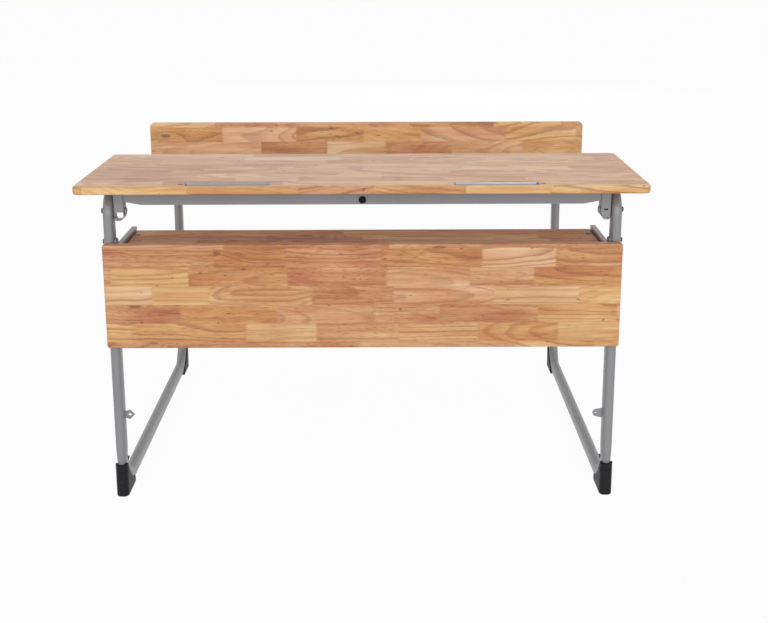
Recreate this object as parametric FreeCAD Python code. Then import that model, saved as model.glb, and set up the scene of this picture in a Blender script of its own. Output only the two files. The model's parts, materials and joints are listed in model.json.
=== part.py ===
import FreeCAD, Part
import math
import os

# Two-seat school desk with a lifting top and an attached bench, in millimetres.
# +Z is up, +X is to the right, and the front (modesty panel) side faces -Y. The bench is at +Y.
# The origin is on the floor, at the middle of the whole object's outline.

# Boards
BOARD_THICKNESS = 18.0
BOARD_EASE = 4.0            # rounding along the boards' long edges
TOP_WIDTH = 1200.0
TOP_DEPTH = 400.0
TOP_HEIGHT = 734.0          # floor to the writing surface
TOP_CORNER = 14.0
TOP_OVERHANG = 40.0         # each end past the frames
PANEL_WIDTH = 1120.0
PANEL_HEIGHT = 234.0
PANEL_CORNER = 6.0
PANEL_SETBACK = 65.0        # the top's front edge to the panel's face
PANEL_RISE = 15.0           # the panel's top edge above the shelf's surface
SHELF_DROP = 137.0          # the desktop's underside to the shelf's surface
SHELF_DEPTH = 183.0
SHELF_CORNER = 4.0
SEAT_WIDTH = 1200.0
SEAT_DEPTH = 330.0
SEAT_HEIGHT = 408.0
SEAT_CORNER = 24.0
SEAT_OVERHANG = 40.0        # each end past the frames
SEAT_GAP = 84.0             # the seat's rear edge to the upright's upper stretch
BACKREST_WIDTH = 1228.0
BACKREST_HEIGHT = 220.0
BACKREST_TOP = 734.0
BACKREST_CORNER = 12.0
BACKREST_OVERHANG = 54.0    # each end past the frames

# Side frames of bent oval tube, one each side
TUBE_WIDTH = 23.0           # across the frame's plane
TUBE_DEPTH = 36.0           # in the frame's plane
TUBE_WALL = 1.5
BASE_LENGTH = 820.0         # front leg to rear corner, on centre lines
ARM_LENGTH = 250.0          # front leg to the arm's rear end
ARM_BEND = 45.0             # bend radii on the centre line
FOOT_BEND = 75.0
BACK_BEND = 150.0
UPRIGHT_LEAN = 4.6          # degrees, below the upright's bend
UPRIGHT_BEND_HEIGHT = 440.0
UPRIGHT_STOP = 20.0         # the upright's end below the backrest's top edge

# Shoes at the frames' four floor corners
SHOE_SOLE = 3.0
SHOE_WALL = 2.5
SHOE_TOE = 3.0              # in front of the tube
SHOE_HEIGHT = 78.0
SHOE_LENGTH = 80.0
SHOE_HEEL = 16.0            # height at the low end
SHOE_RIM = 14.0             # level stretch of the rim before it slopes
SHOE_SAG = 13.0             # how far the sloping rim dips below a straight line
SHOE_ROUND = 11.0
SHOE_FIT = 0.1

# Plastic plugs in the open tube ends
PLUG_CAP = 4.0
PLUG_STUB = 16.0
PLUG_FIT = 0.2

# Lifting top: hinge brackets, channel, pins and rests
HINGE_DROP = 55.0           # the desktop's underside to the hinge axis
HINGE_OFFSET = 1.5          # the hinge axis behind the leg's centre line
PIN_RADIUS = 4.0
PIN_RUNNING_FIT = 0.05
PIN_HEAD_RADIUS = 6.5
PIN_HEAD = 4.0
NUT_FLATS = 13.0
NUT_HEIGHT = 6.5
SIDE_PLAY = 1.0             # bracket to leg
WASHER_THICKNESS = 0.6
WASHER_RADIUS = 6.4
NUT_PLAY = 0.4
BRACKET_WIDTH = 23.0
BRACKET_DEPTH = 24.0
BRACKET_SHEET = 2.0
BRACKET_TAIL = 21.0         # below the hinge axis
BRACKET_SHOULDER = 9.0      # below the hinge axis, where the sides turn in
BRACKET_POINT = 8.0         # width of the lower end
BRACKET_SLIT = 2.6          # gap between the two turned-in ends
SLOT_WIDTH = 9.0
SLOT_HEIGHT = 3.5
WINDOW_HEIGHT = 12.0
CHANNEL_DEPTH = 20.0
CHANNEL_HEIGHT = 40.0
CHANNEL_SHEET = 2.0
CHANNEL_TAPER_LENGTH = 38.0
CHANNEL_TAPER_RISE = 7.0
BUMPER_RADIUS = 7.7
BUMPER_HEIGHT = 6.0
BUMPER_STEM_RADIUS = 3.5
BUMPER_STEM = 6.0
BUMPER_DROP = 30.0          # the desktop's underside to the bumper's centre
PAD_RISE = 3.0              # rubber rest above the arm
PAD_WIDTH = 16.0
PAD_LENGTH = 24.0
PAD_SKIRT = 4.0
PAD_SETBACKS = (90.0, 215.0)    # rests behind the leg's centre line
LID_GAP = 0.3

# Pen trays let into the desktop
TRAY_LENGTH = 183.0
TRAY_WIDTH = 36.0
TRAY_SETBACK = 7.0          # the top's front edge to the tray's rim
TRAY_INNER_END = 190.0      # the middle of the desk to the tray's near end
TRAY_RIM = 4.0
TRAY_SHEET = 1.2
TRAY_DEPTH = 9.0
TRAY_CORNER = 7.0
TRAY_FIT = 0.2
NOTCH_RADIUS = 6.5          # finger notch at the tray's outer end
NOTCH_DEPTH = 5.0
NOTCH_REACH = 5.0

# Shelf rails
RAIL_WIDTH = 12.0
RAIL_WALL = 1.5
RAIL_RISE = 8.0             # above the shelf's surface
RAIL_CAP = 2.5
RAIL_CAP_STUB = 10.0
SHELF_FIT = 0.5
TAB_LENGTH = 24.0
TAB_REACH = 22.0
TAB_SHEET = 3.0
EAR_SHEET = 3.0
EAR_LENGTH = 22.0
EAR_MARGIN = 0.5            # metal left above and below the bolt's nut
SHELF_SCREW_SETBACKS = (37.0, 135.0)    # behind the shelf's front edge
SHELF_SCREW_INSET = 11.0                # from the shelf's end

# Seat carriers
SEAT_RAIL_DEPTH = 20.0
SEAT_RAIL_HEIGHT = 40.0
SEAT_RAIL_WALL = 1.5
SEAT_RAIL_INSETS = (60.0, 270.0)        # behind the seat's front edge, to the rails' middles
SEAT_ARM_INSET = 25.0                   # the seat's front edge to the arm's end
SEAT_SCREW_SPACING = 400.0
BRACE_RADIUS = 9.0
BRACE_WALL = 1.5
BRACE_FOOT_HEIGHT = 190.0
BRACE_HEAD_INSET = 130.0                # the seat's front edge to the brace's upper end

# Eye lugs on the front legs
LUG_HEIGHT = 192.0
LUG_REACH = 22.0
LUG_RADIUS = 11.0
LUG_HOLE_RADIUS = 4.5
LUG_SHEET = 5.0

# Fasteners
BOLT_RADIUS = 3.0
BOLT_HEAD_RADIUS = 6.0
BOLT_HEAD = 4.0
SCREW_RADIUS = 2.0
SCREW_HEAD_RADIUS = 4.5
SCREW_HEAD = 2.5
SCREW_BITE = 12.0           # depth of a fastener's end in wood
HOLE_FIT = 0.1
SADDLE_RADIUS = 7.0
SADDLE_RISE = 1.5           # washer above the tube's rounded nose
SADDLE_SKIRT = 3.0
PANEL_BOLT_INSETS = (40.0, 180.0)       # above the panel's lower edge
BACKREST_BOLT_INSETS = (55.0, 160.0)    # above the backrest's lower edge

# Heights that follow
UNDERSIDE = TOP_HEIGHT - BOARD_THICKNESS
ARM_Z = UNDERSIDE - LID_GAP - PAD_RISE - TUBE_DEPTH / 2
RUNNER_Z = SHOE_SOLE + TUBE_DEPTH / 2
HINGE_Z = UNDERSIDE - HINGE_DROP
SHELF_TOP = UNDERSIDE - SHELF_DROP
PANEL_TOP = SHELF_TOP + PANEL_RISE
PANEL_BOTTOM = PANEL_TOP - PANEL_HEIGHT
RAIL_TOP = SHELF_TOP + RAIL_RISE
RAIL_BOTTOM = SHELF_TOP - BOARD_THICKNESS - TAB_SHEET
EAR_TOP = RAIL_TOP + 2 * (BOLT_HEAD_RADIUS + EAR_MARGIN)
RAIL_BOLT_Z = (RAIL_TOP + EAR_TOP) / 2
SEAT_UNDERSIDE = SEAT_HEIGHT - BOARD_THICKNESS
SEAT_ARM_Z = SEAT_UNDERSIDE - TUBE_DEPTH / 2
BACKREST_BOTTOM = BACKREST_TOP - BACKREST_HEIGHT

# Depths that follow, from the top's front edge back to the rearmost bolt heads
LEAN_RUN = (UPRIGHT_BEND_HEIGHT - RUNNER_Z) * math.tan(math.radians(UPRIGHT_LEAN))
LEG_FROM_FRONT = PANEL_SETBACK + BOARD_THICKNESS + TUBE_DEPTH / 2
OVERALL_DEPTH = LEG_FROM_FRONT + BASE_LENGTH + LEAN_RUN + TUBE_DEPTH / 2 + SADDLE_RISE + BOLT_HEAD
TOP_FRONT_Y = -OVERALL_DEPTH / 2
PANEL_FRONT_Y = TOP_FRONT_Y + PANEL_SETBACK
PANEL_BACK_Y = PANEL_FRONT_Y + BOARD_THICKNESS
LEG_Y = TOP_FRONT_Y + LEG_FROM_FRONT
HINGE_Y = LEG_Y + HINGE_OFFSET
REAR_CORNER_Y = LEG_Y + BASE_LENGTH
UPRIGHT_Y = REAR_CORNER_Y + LEAN_RUN
BACKREST_FRONT_Y = UPRIGHT_Y - TUBE_DEPTH / 2 - BOARD_THICKNESS
SEAT_FRONT_Y = UPRIGHT_Y - SEAT_GAP - SEAT_DEPTH

# Widths that follow: the frames stand inside the narrowest of the boards that they carry
FRAME_WIDTH = min(TOP_WIDTH - 2 * TOP_OVERHANG, PANEL_WIDTH, SEAT_WIDTH - 2 * SEAT_OVERHANG,
                  BACKREST_WIDTH - 2 * BACKREST_OVERHANG)
TUBE_X = FRAME_WIDTH / 2 - TUBE_WIDTH / 2
INNER_X = FRAME_WIDTH / 2 - TUBE_WIDTH
BRACKET_OUTER_X = INNER_X - SIDE_PLAY
BRACKET_INNER_X = BRACKET_OUTER_X - BRACKET_WIDTH
RAIL_INNER_X = INNER_X - RAIL_WIDTH

X_AXIS = FreeCAD.Vector(1, 0, 0)
Y_AXIS = FreeCAD.Vector(0, 1, 0)
Z_AXIS = FreeCAD.Vector(0, 0, 1)
OVERLAP = 1.0               # how far cutting tools pass through what they cut
TOUCH = 0.01                # places nearer than this are the same
HALF_MIDDLES = (0.25, 0.75)     # two fasteners spread over a length


def vec(x, y, z):
    return FreeCAD.Vector(x, y, z)


def block(low, high):
    """Box between two opposite corners."""
    size = high - low
    return Part.makeBox(size.x, size.y, size.z, low)


def rod(start, end, radius):
    """Round bar from one point to another."""
    along = end - start
    return Part.makeCylinder(radius, along.Length, start, along)


def prism(points, along):
    """Solid of a closed polygon pushed along a vector."""
    wire = Part.makePolygon(points + [points[0]])
    return Part.Face(wire).extrude(along)


def mirrored(shape):
    """The same piece for the other side of the desk."""
    return shape.mirror(vec(0, 0, 0), X_AXIS)


def for_side(shape, side):
    return shape if side > 0 else mirrored(shape)


def both_sides(shape):
    return [mirrored(shape), shape]


def rounded_rectangle(width, depth, corner):
    """Face in the XY plane, centred in X, from y = 0 to depth, with rounded corners."""
    left, right = -width / 2, width / 2
    bend = corner * (1 - math.sqrt(0.5))
    edges = [
        Part.LineSegment(vec(left + corner, 0, 0), vec(right - corner, 0, 0)),
        Part.Arc(vec(right - corner, 0, 0), vec(right - bend, bend, 0), vec(right, corner, 0)),
        Part.LineSegment(vec(right, corner, 0), vec(right, depth - corner, 0)),
        Part.Arc(vec(right, depth - corner, 0), vec(right - bend, depth - bend, 0),
                 vec(right - corner, depth, 0)),
        Part.LineSegment(vec(right - corner, depth, 0), vec(left + corner, depth, 0)),
        Part.Arc(vec(left + corner, depth, 0), vec(left + bend, depth - bend, 0),
                 vec(left, depth - corner, 0)),
        Part.LineSegment(vec(left, depth - corner, 0), vec(left, corner, 0)),
        Part.Arc(vec(left, corner, 0), vec(left + bend, bend, 0), vec(left + corner, 0, 0)),
    ]
    return Part.Face(Part.Wire([edge.toShape() for edge in edges]))


def board(width, depth, corner):
    """Flat board with rounded corners and eased edges, lying from z = 0 up to the board's thickness."""
    solid = rounded_rectangle(width, depth, corner).extrude(Z_AXIS * BOARD_THICKNESS)
    ends = [face for face in solid.Faces if abs(face.normalAt(0, 0).z) > 0.9]
    return solid.makeFillet(BOARD_EASE, [edge for face in ends for edge in face.Edges])


def upright_board(width, height, corner, front_y, bottom_z):
    """The same board stood on its long edge, with its face towards the front."""
    solid = board(width, height, corner)
    solid.rotate(vec(0, 0, 0), X_AXIS, 90)
    solid.translate(vec(0, front_y + BOARD_THICKNESS, bottom_z))
    return solid


def oval_wire(centre, across, along, width, depth):
    """Tube outline with flat sides and round ends."""
    radius = width / 2
    half = depth / 2 - radius
    right, left = centre + across * radius, centre - across * radius
    edges = [
        Part.LineSegment(right - along * half, right + along * half),
        Part.Arc(right + along * half, centre + along * (depth / 2), left + along * half),
        Part.LineSegment(left + along * half, left - along * half),
        Part.Arc(left - along * half, centre - along * (depth / 2), right - along * half),
    ]
    return Part.Wire([edge.toShape() for edge in edges])


def oval_bar(start, along, length, upward, width, depth):
    """Straight bar of the tube's outline."""
    wire = oval_wire(start, X_AXIS, upward, width, depth)
    return Part.Face(wire).extrude(along * length)


def rounded_path(points, radii):
    """Straight runs joined by tangent arcs, one radius for each inner point."""
    edges = []
    start = points[0]
    for corner, after, radius in zip(points[1:-1], points[2:], radii):
        heading = (corner - start).normalize()
        leaving = (after - corner).normalize()
        half_turn = heading.getAngle(leaving) / 2
        reach = radius * math.tan(half_turn)
        inside = (leaving - heading).normalize()
        arc_start, arc_end = corner - heading * reach, corner + leaving * reach
        arc_middle = corner + inside * (radius / math.cos(half_turn) - radius)
        edges.append(Part.LineSegment(start, arc_start).toShape())
        edges.append(Part.Arc(arc_start, arc_middle, arc_end).toShape())
        start = arc_end
    edges.append(Part.LineSegment(start, points[-1]).toShape())
    return Part.Wire(edges)


def frame_path():
    """Centre line of the right side frame, from the arm's rear end to the upright's top."""
    points = [
        vec(TUBE_X, LEG_Y + ARM_LENGTH, ARM_Z),
        vec(TUBE_X, LEG_Y, ARM_Z),
        vec(TUBE_X, LEG_Y, RUNNER_Z),
        vec(TUBE_X, REAR_CORNER_Y, RUNNER_Z),
        vec(TUBE_X, UPRIGHT_Y, UPRIGHT_BEND_HEIGHT),
        vec(TUBE_X, UPRIGHT_Y, BACKREST_TOP - UPRIGHT_STOP),
    ]
    return rounded_path(points, [ARM_BEND, FOOT_BEND, FOOT_BEND, BACK_BEND])


def frame_bar(inset):
    """The whole side frame as a bar, with its outline drawn in by an inset."""
    start = vec(TUBE_X, LEG_Y + ARM_LENGTH, ARM_Z)
    outline = oval_wire(start, X_AXIS, Z_AXIS, TUBE_WIDTH - 2 * inset, TUBE_DEPTH - 2 * inset)
    return frame_path().makePipeShell([outline], True, False)


def upright_y(height):
    """The rear upright's centre line at a height below its bend."""
    return REAR_CORNER_Y + (height - RUNNER_Z) * math.tan(math.radians(UPRIGHT_LEAN))


def head_and_shank(seat, along, shank, radius, head_radius, head):
    """Fastener whose head sits on a point, with its shank running on along a direction."""
    return rod(seat - along * head, seat, head_radius).fuse(rod(seat, seat + along * shank, radius))


def bolt_holes(points, along, length, radius):
    """Tools that drill the same hole at several points."""
    return [rod(point, point + along * length, radius) for point in points]


FRAME_BAR = frame_bar(0.0)
LEG_REAR_Y = LEG_Y + TUBE_DEPTH / 2
UPRIGHT_REAR_Y = UPRIGHT_Y + TUBE_DEPTH / 2
PANEL_BOLT_POINTS = [vec(TUBE_X, LEG_REAR_Y + SADDLE_RISE, PANEL_BOTTOM + inset)
                     for inset in PANEL_BOLT_INSETS]
BACKREST_BOLT_POINTS = [vec(TUBE_X, UPRIGHT_REAR_Y + SADDLE_RISE, BACKREST_BOTTOM + inset)
                        for inset in BACKREST_BOLT_INSETS]
BACK_BOLT_SHANK = SADDLE_RISE + TUBE_DEPTH + SCREW_BITE
HINGE_POINT = vec(FRAME_WIDTH / 2, HINGE_Y, HINGE_Z)
RAIL_BOLT_POINT = vec(FRAME_WIDTH / 2, LEG_Y, RAIL_BOLT_Z)
RAIL_BOLT_SHANK = TUBE_WIDTH + EAR_SHEET + NUT_HEIGHT
BORE_RADIUS = BOLT_RADIUS + HOLE_FIT
PILOT_RADIUS = SCREW_RADIUS + HOLE_FIT
PIN_BORE_RADIUS = PIN_RADIUS + PIN_RUNNING_FIT


def side_frame(side):
    """Bent oval tube: arm under the top, front leg, floor runner and rear upright in one length."""
    tube = FRAME_BAR.cut(frame_bar(TUBE_WALL))
    tools = bolt_holes(PANEL_BOLT_POINTS + BACKREST_BOLT_POINTS, -Y_AXIS, BACK_BOLT_SHANK, BORE_RADIUS)
    outside = X_AXIS * OVERLAP
    across = TUBE_WIDTH + 2 * OVERLAP
    tools += bolt_holes([HINGE_POINT + outside], -X_AXIS, across, PIN_BORE_RADIUS)
    tools += bolt_holes([RAIL_BOLT_POINT + outside], -X_AXIS, across, BORE_RADIUS)
    return for_side(tube.cut(tools), side)


def shoe(side, rear):
    """Corner boot: an open wedge that holds the frame's bend, flat on the floor."""
    inward = -1.0 if rear else 1.0
    lean = math.tan(math.radians(UPRIGHT_LEAN)) if rear else 0.0
    nose = (TUBE_DEPTH / 2) / math.cos(math.radians(UPRIGHT_LEAN if rear else 0.0))
    base_y = upright_y(0.0) + nose + SHOE_TOE if rear else LEG_Y - nose - SHOE_TOE

    def at(distance, height):
        """Point of the outline, so far in from the toe at that height."""
        return vec(0, base_y + inward * (distance - height * lean), height)

    rim_start, rim_end = at(SHOE_RIM, SHOE_HEIGHT), at(SHOE_LENGTH, SHOE_HEEL)
    middle = (rim_start + rim_end) * 0.5 - Z_AXIS * SHOE_SAG
    edges = [
        Part.LineSegment(at(0, 0), at(0, SHOE_HEIGHT)),
        Part.LineSegment(at(0, SHOE_HEIGHT), rim_start),
        Part.Arc(rim_start, middle, rim_end),
        Part.LineSegment(rim_end, at(SHOE_LENGTH, 0)),
        Part.LineSegment(at(SHOE_LENGTH, 0), at(0, 0)),
    ]
    outline = Part.Face(Part.Wire([edge.toShape() for edge in edges]))
    outline.translate(X_AXIS * (TUBE_X - TUBE_WIDTH / 2 - SHOE_WALL))
    body = outline.extrude(X_AXIS * (TUBE_WIDTH + 2 * SHOE_WALL))
    toe = at(0, SHOE_HEIGHT / 2).y
    toe_edges = [edge for edge in body.Edges if abs(edge.CenterOfMass.y - toe) < TOUCH
                 and abs(edge.CenterOfMass.x - TUBE_X) > TOUCH]
    body = body.makeFillet(SHOE_ROUND, toe_edges)
    return for_side(body.cut(frame_bar(-SHOE_FIT)), side)


def end_plug(centre, outward, along):
    """Cap on a tube's open end, with a stub that fills the bore."""
    stub_width = TUBE_WIDTH - 2 * TUBE_WALL - 2 * PLUG_FIT
    stub_depth = TUBE_DEPTH - 2 * TUBE_WALL - 2 * PLUG_FIT
    cap = oval_bar(centre, outward, PLUG_CAP, along, TUBE_WIDTH, TUBE_DEPTH)
    return cap.fuse(oval_bar(centre, -outward, PLUG_STUB, along, stub_width, stub_depth))


def arm_plug(side):
    return for_side(end_plug(vec(TUBE_X, LEG_Y + ARM_LENGTH, ARM_Z), Y_AXIS, Z_AXIS), side)


def upright_plug(side):
    return for_side(end_plug(vec(TUBE_X, UPRIGHT_Y, BACKREST_TOP - UPRIGHT_STOP), Z_AXIS, Y_AXIS), side)


def lid_rest_pads():
    """Rubber rests saddled on the arms, a hair under the closed top."""
    arm_top = ARM_Z + TUBE_DEPTH / 2
    pads = []
    for setback in PAD_SETBACKS:
        low = vec(TUBE_X - PAD_WIDTH / 2, LEG_Y + setback - PAD_LENGTH / 2, arm_top - PAD_SKIRT)
        high = vec(TUBE_X + PAD_WIDTH / 2, LEG_Y + setback + PAD_LENGTH / 2, arm_top + PAD_RISE)
        pads += both_sides(block(low, high).cut(FRAME_BAR))
    return Part.makeCompound(pads)


def bracket_screw_points():
    """Under the bracket's top plate, one in each half of the room behind its front plate."""
    middle = (BRACKET_OUTER_X + BRACKET_INNER_X) / 2
    start_y, room = channel_front_y() + BRACKET_SHEET, BRACKET_DEPTH - BRACKET_SHEET
    return [vec(middle, start_y + room * share, UNDERSIDE - BRACKET_SHEET) for share in HALF_MIDDLES]


def channel_screw_points():
    """Under the channel's web, spread along its right half."""
    middle_y = channel_front_y() + CHANNEL_DEPTH / 2
    return [vec(BRACKET_INNER_X * share, middle_y, UNDERSIDE - CHANNEL_SHEET) for share in HALF_MIDDLES]


def channel_front_y():
    return HINGE_Y - BRACKET_DEPTH / 2


def tray_centre_x():
    return TRAY_INNER_END + TRAY_LENGTH / 2


def tray_outline(inset, low, high):
    """Rounded block on the right tray's place, with its outline drawn in by an inset."""
    corner = TRAY_CORNER - min(inset, TRAY_RIM)
    face = rounded_rectangle(TRAY_LENGTH - 2 * inset, TRAY_WIDTH - 2 * inset, corner)
    face.translate(vec(tray_centre_x(), TOP_FRONT_Y + TRAY_SETBACK + inset, low))
    return face.extrude(Z_AXIS * (high - low))


def desktop():
    """Writing top with two tray recesses, finger notches and pilot holes underneath."""
    solid = board(TOP_WIDTH, TOP_DEPTH, TOP_CORNER)
    solid.translate(vec(0, TOP_FRONT_Y, UNDERSIDE))
    above = TOP_HEIGHT + OVERLAP
    rebate = tray_outline(-TRAY_FIT, TOP_HEIGHT - TRAY_SHEET, above)
    recess = tray_outline(TRAY_RIM - TRAY_FIT, TOP_HEIGHT - TRAY_DEPTH - TRAY_SHEET, above)
    notch_x = TRAY_INNER_END + TRAY_LENGTH + NOTCH_REACH
    notch_base = vec(notch_x, TOP_FRONT_Y + TRAY_SETBACK + TRAY_WIDTH / 2, TOP_HEIGHT - NOTCH_DEPTH)
    notch = rod(notch_base, notch_base + Z_AXIS * (NOTCH_DEPTH + OVERLAP), NOTCH_RADIUS)
    pilots = bolt_holes(bracket_screw_points() + channel_screw_points(), Z_AXIS,
                        BRACKET_SHEET + SCREW_BITE, PILOT_RADIUS)
    tools = []
    for tool in [rebate, recess, notch] + pilots:
        tools += both_sides(tool)
    return solid.cut(tools)


def pen_tray(side):
    """Pressed metal dish with a rim that lies flush with the wood."""
    rim = tray_outline(0.0, TOP_HEIGHT - TRAY_SHEET, TOP_HEIGHT)
    dish = tray_outline(TRAY_RIM, TOP_HEIGHT - TRAY_DEPTH - TRAY_SHEET, TOP_HEIGHT - TRAY_SHEET)
    hollow = tray_outline(TRAY_RIM + TRAY_SHEET, TOP_HEIGHT - TRAY_DEPTH, TOP_HEIGHT + OVERLAP)
    return for_side(rim.fuse(dish).cut(hollow).removeSplitter(), side)


def bracket_outline(inset, top):
    """Front outline of the right bracket: straight sides that turn in to a blunt point."""
    left, right = BRACKET_INNER_X + inset, BRACKET_OUTER_X - inset
    middle = (BRACKET_INNER_X + BRACKET_OUTER_X) / 2
    half_point = BRACKET_POINT / 2
    shoulder, tail = HINGE_Z - BRACKET_SHOULDER, HINGE_Z - BRACKET_TAIL + inset
    y = channel_front_y()
    return [vec(left, y, top), vec(left, y, shoulder), vec(middle - half_point, y, tail),
            vec(middle + half_point, y, tail), vec(right, y, shoulder), vec(right, y, top)]


def hinge_bracket(side):
    """Folded bracket that hangs from the top and turns on the hinge pin."""
    outer = prism(bracket_outline(0.0, UNDERSIDE), Y_AXIS * BRACKET_DEPTH)
    inner = prism(bracket_outline(BRACKET_SHEET, UNDERSIDE - BRACKET_SHEET), Y_AXIS * BRACKET_DEPTH)
    inner.translate(Y_AXIS * BRACKET_SHEET)
    middle = (BRACKET_INNER_X + BRACKET_OUTER_X) / 2
    front = channel_front_y()
    tail = HINGE_Z - BRACKET_TAIL
    slit = block(vec(middle - BRACKET_SLIT / 2, front - OVERLAP, tail - OVERLAP),
                 vec(middle + BRACKET_SLIT / 2, front + BRACKET_DEPTH + OVERLAP,
                     tail + BRACKET_SHEET + OVERLAP))
    open_width = SLOT_WIDTH if side > 0 else BRACKET_WIDTH - 2 * BRACKET_SHEET
    open_height = SLOT_HEIGHT if side > 0 else WINDOW_HEIGHT
    opening = block(vec(middle - open_width / 2, front - OVERLAP, HINGE_Z - open_height),
                    vec(middle + open_width / 2, front + BRACKET_SHEET + OVERLAP, HINGE_Z))
    pin_hole = rod(HINGE_POINT, vec(BRACKET_INNER_X - OVERLAP, HINGE_Y, HINGE_Z), PIN_BORE_RADIUS)
    screw_holes = bolt_holes(bracket_screw_points(), Z_AXIS, BRACKET_SHEET + OVERLAP, PILOT_RADIUS)
    return for_side(outer.cut([inner, slit, opening, pin_hole] + screw_holes), side)


def lid_channel():
    """Folded channel under the top, open below, with its flanges cut away towards the ends."""
    front = channel_front_y()
    bottom = UNDERSIDE - CHANNEL_HEIGHT
    half = BRACKET_INNER_X
    flat = half - CHANNEL_TAPER_LENGTH
    side_view = [vec(-half, front, UNDERSIDE), vec(-half, front, bottom + CHANNEL_TAPER_RISE),
                 vec(-flat, front, bottom), vec(flat, front, bottom),
                 vec(half, front, bottom + CHANNEL_TAPER_RISE), vec(half, front, UNDERSIDE)]
    solid = prism(side_view, Y_AXIS * CHANNEL_DEPTH)
    hollow = block(vec(-half - OVERLAP, front + CHANNEL_SHEET, bottom - OVERLAP),
                   vec(half + OVERLAP, front + CHANNEL_DEPTH - CHANNEL_SHEET, UNDERSIDE - CHANNEL_SHEET))
    tools = [hollow]
    for hole in bolt_holes(channel_screw_points(), Z_AXIS, CHANNEL_SHEET + OVERLAP, PILOT_RADIUS):
        tools += both_sides(hole)
    stem = bumper_seat()
    tools.append(rod(stem - Y_AXIS * OVERLAP, stem + Y_AXIS * (CHANNEL_SHEET + OVERLAP),
                     BUMPER_STEM_RADIUS + HOLE_FIT))
    return solid.cut(tools)


def bumper_seat():
    return vec(0, channel_front_y(), UNDERSIDE - BUMPER_DROP)


def lid_bumper():
    """Black rubber button pushed into the channel's front flange."""
    seat = bumper_seat()
    head = rod(seat - Y_AXIS * BUMPER_HEIGHT, seat, BUMPER_RADIUS)
    crown = [edge for edge in head.Edges
             if edge.Closed and edge.CenterOfMass.y < seat.y - BUMPER_HEIGHT / 2]
    head = head.makeFillet(BUMPER_HEIGHT / 2, crown)
    return head.fuse(rod(seat, seat + Y_AXIS * BUMPER_STEM, BUMPER_STEM_RADIUS))


def lid_screws():
    """Pan-head screws that hold the brackets and the channel to the top."""
    screws = []
    for point in bracket_screw_points() + channel_screw_points():
        screw = head_and_shank(point, Z_AXIS, BRACKET_SHEET + SCREW_BITE, SCREW_RADIUS,
                               SCREW_HEAD_RADIUS, SCREW_HEAD)
        screws += both_sides(screw)
    return Part.makeCompound(screws)


def hinge_pin(side):
    """Bolt through the leg and the bracket, with its head outside."""
    shank = HINGE_POINT.x - BRACKET_INNER_X + NUT_PLAY + NUT_HEIGHT
    pin = head_and_shank(HINGE_POINT, -X_AXIS, shank, PIN_RADIUS, PIN_HEAD_RADIUS, PIN_HEAD)
    return for_side(pin, side)


def hexagon(centre, along, flats, height):
    """Hexagonal nut body along X, starting at a point."""
    radius = flats / math.sqrt(3)
    points = []
    for corner in range(6):
        angle = math.radians(60 * corner + 30)
        points.append(centre + Y_AXIS * (radius * math.cos(angle)) + Z_AXIS * (radius * math.sin(angle)))
    return prism(points, along * height)


def hinge_nuts():
    start = vec(BRACKET_INNER_X - NUT_PLAY, HINGE_Y, HINGE_Z)
    nut = hexagon(start, -X_AXIS, NUT_FLATS, NUT_HEIGHT)
    bore = rod(start + X_AXIS * OVERLAP, start - X_AXIS * (NUT_HEIGHT + OVERLAP), PIN_BORE_RADIUS)
    return Part.makeCompound(both_sides(nut.cut(bore)))


def hinge_washers():
    start = vec(INNER_X, HINGE_Y, HINGE_Z)
    end = start - X_AXIS * WASHER_THICKNESS
    bore = rod(start + X_AXIS * OVERLAP, end - X_AXIS * OVERLAP, PIN_BORE_RADIUS)
    return Part.makeCompound(both_sides(rod(start, end, WASHER_RADIUS).cut(bore)))


def modesty_panel():
    """Front board, held from behind by bolts through the legs."""
    solid = upright_board(PANEL_WIDTH, PANEL_HEIGHT, PANEL_CORNER, PANEL_FRONT_Y, PANEL_BOTTOM)
    tools = []
    for hole in bolt_holes(PANEL_BOLT_POINTS, -Y_AXIS, BACK_BOLT_SHANK, BORE_RADIUS):
        tools += both_sides(hole)
    return solid.cut(tools)


def saddled_bolts(points):
    """Bolts with their heads behind the tubes' rounded noses."""
    bolts = []
    for point in points:
        bolts += both_sides(head_and_shank(point, -Y_AXIS, BACK_BOLT_SHANK, BOLT_RADIUS,
                                           BOLT_HEAD_RADIUS, BOLT_HEAD))
    return Part.makeCompound(bolts)


def saddle_washers(points):
    """Washers shaped to a tube's rounded nose on one face and flat on the other."""
    washers = []
    for point in points:
        inner = point - Y_AXIS * (SADDLE_RISE + SADDLE_SKIRT)
        bore = rod(point + Y_AXIS * OVERLAP, inner - Y_AXIS * OVERLAP, BORE_RADIUS)
        washers += both_sides(rod(inner, point, SADDLE_RADIUS).cut([FRAME_BAR, bore]))
    return Part.makeCompound(washers)


def shelf_screw_points():
    x = RAIL_INNER_X - SHELF_FIT - SHELF_SCREW_INSET
    return [vec(x, PANEL_BACK_Y + setback, SHELF_TOP) for setback in SHELF_SCREW_SETBACKS]


def countersunk_screw(point):
    """Flat-head screw, its head level with the shelf."""
    cone = Part.makeCone(SCREW_HEAD_RADIUS, SCREW_RADIUS, SCREW_HEAD, point, -Z_AXIS)
    tip = point - Z_AXIS * (BOARD_THICKNESS + TAB_SHEET)
    return cone.fuse(rod(point - Z_AXIS * SCREW_HEAD, tip, SCREW_RADIUS))


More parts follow.
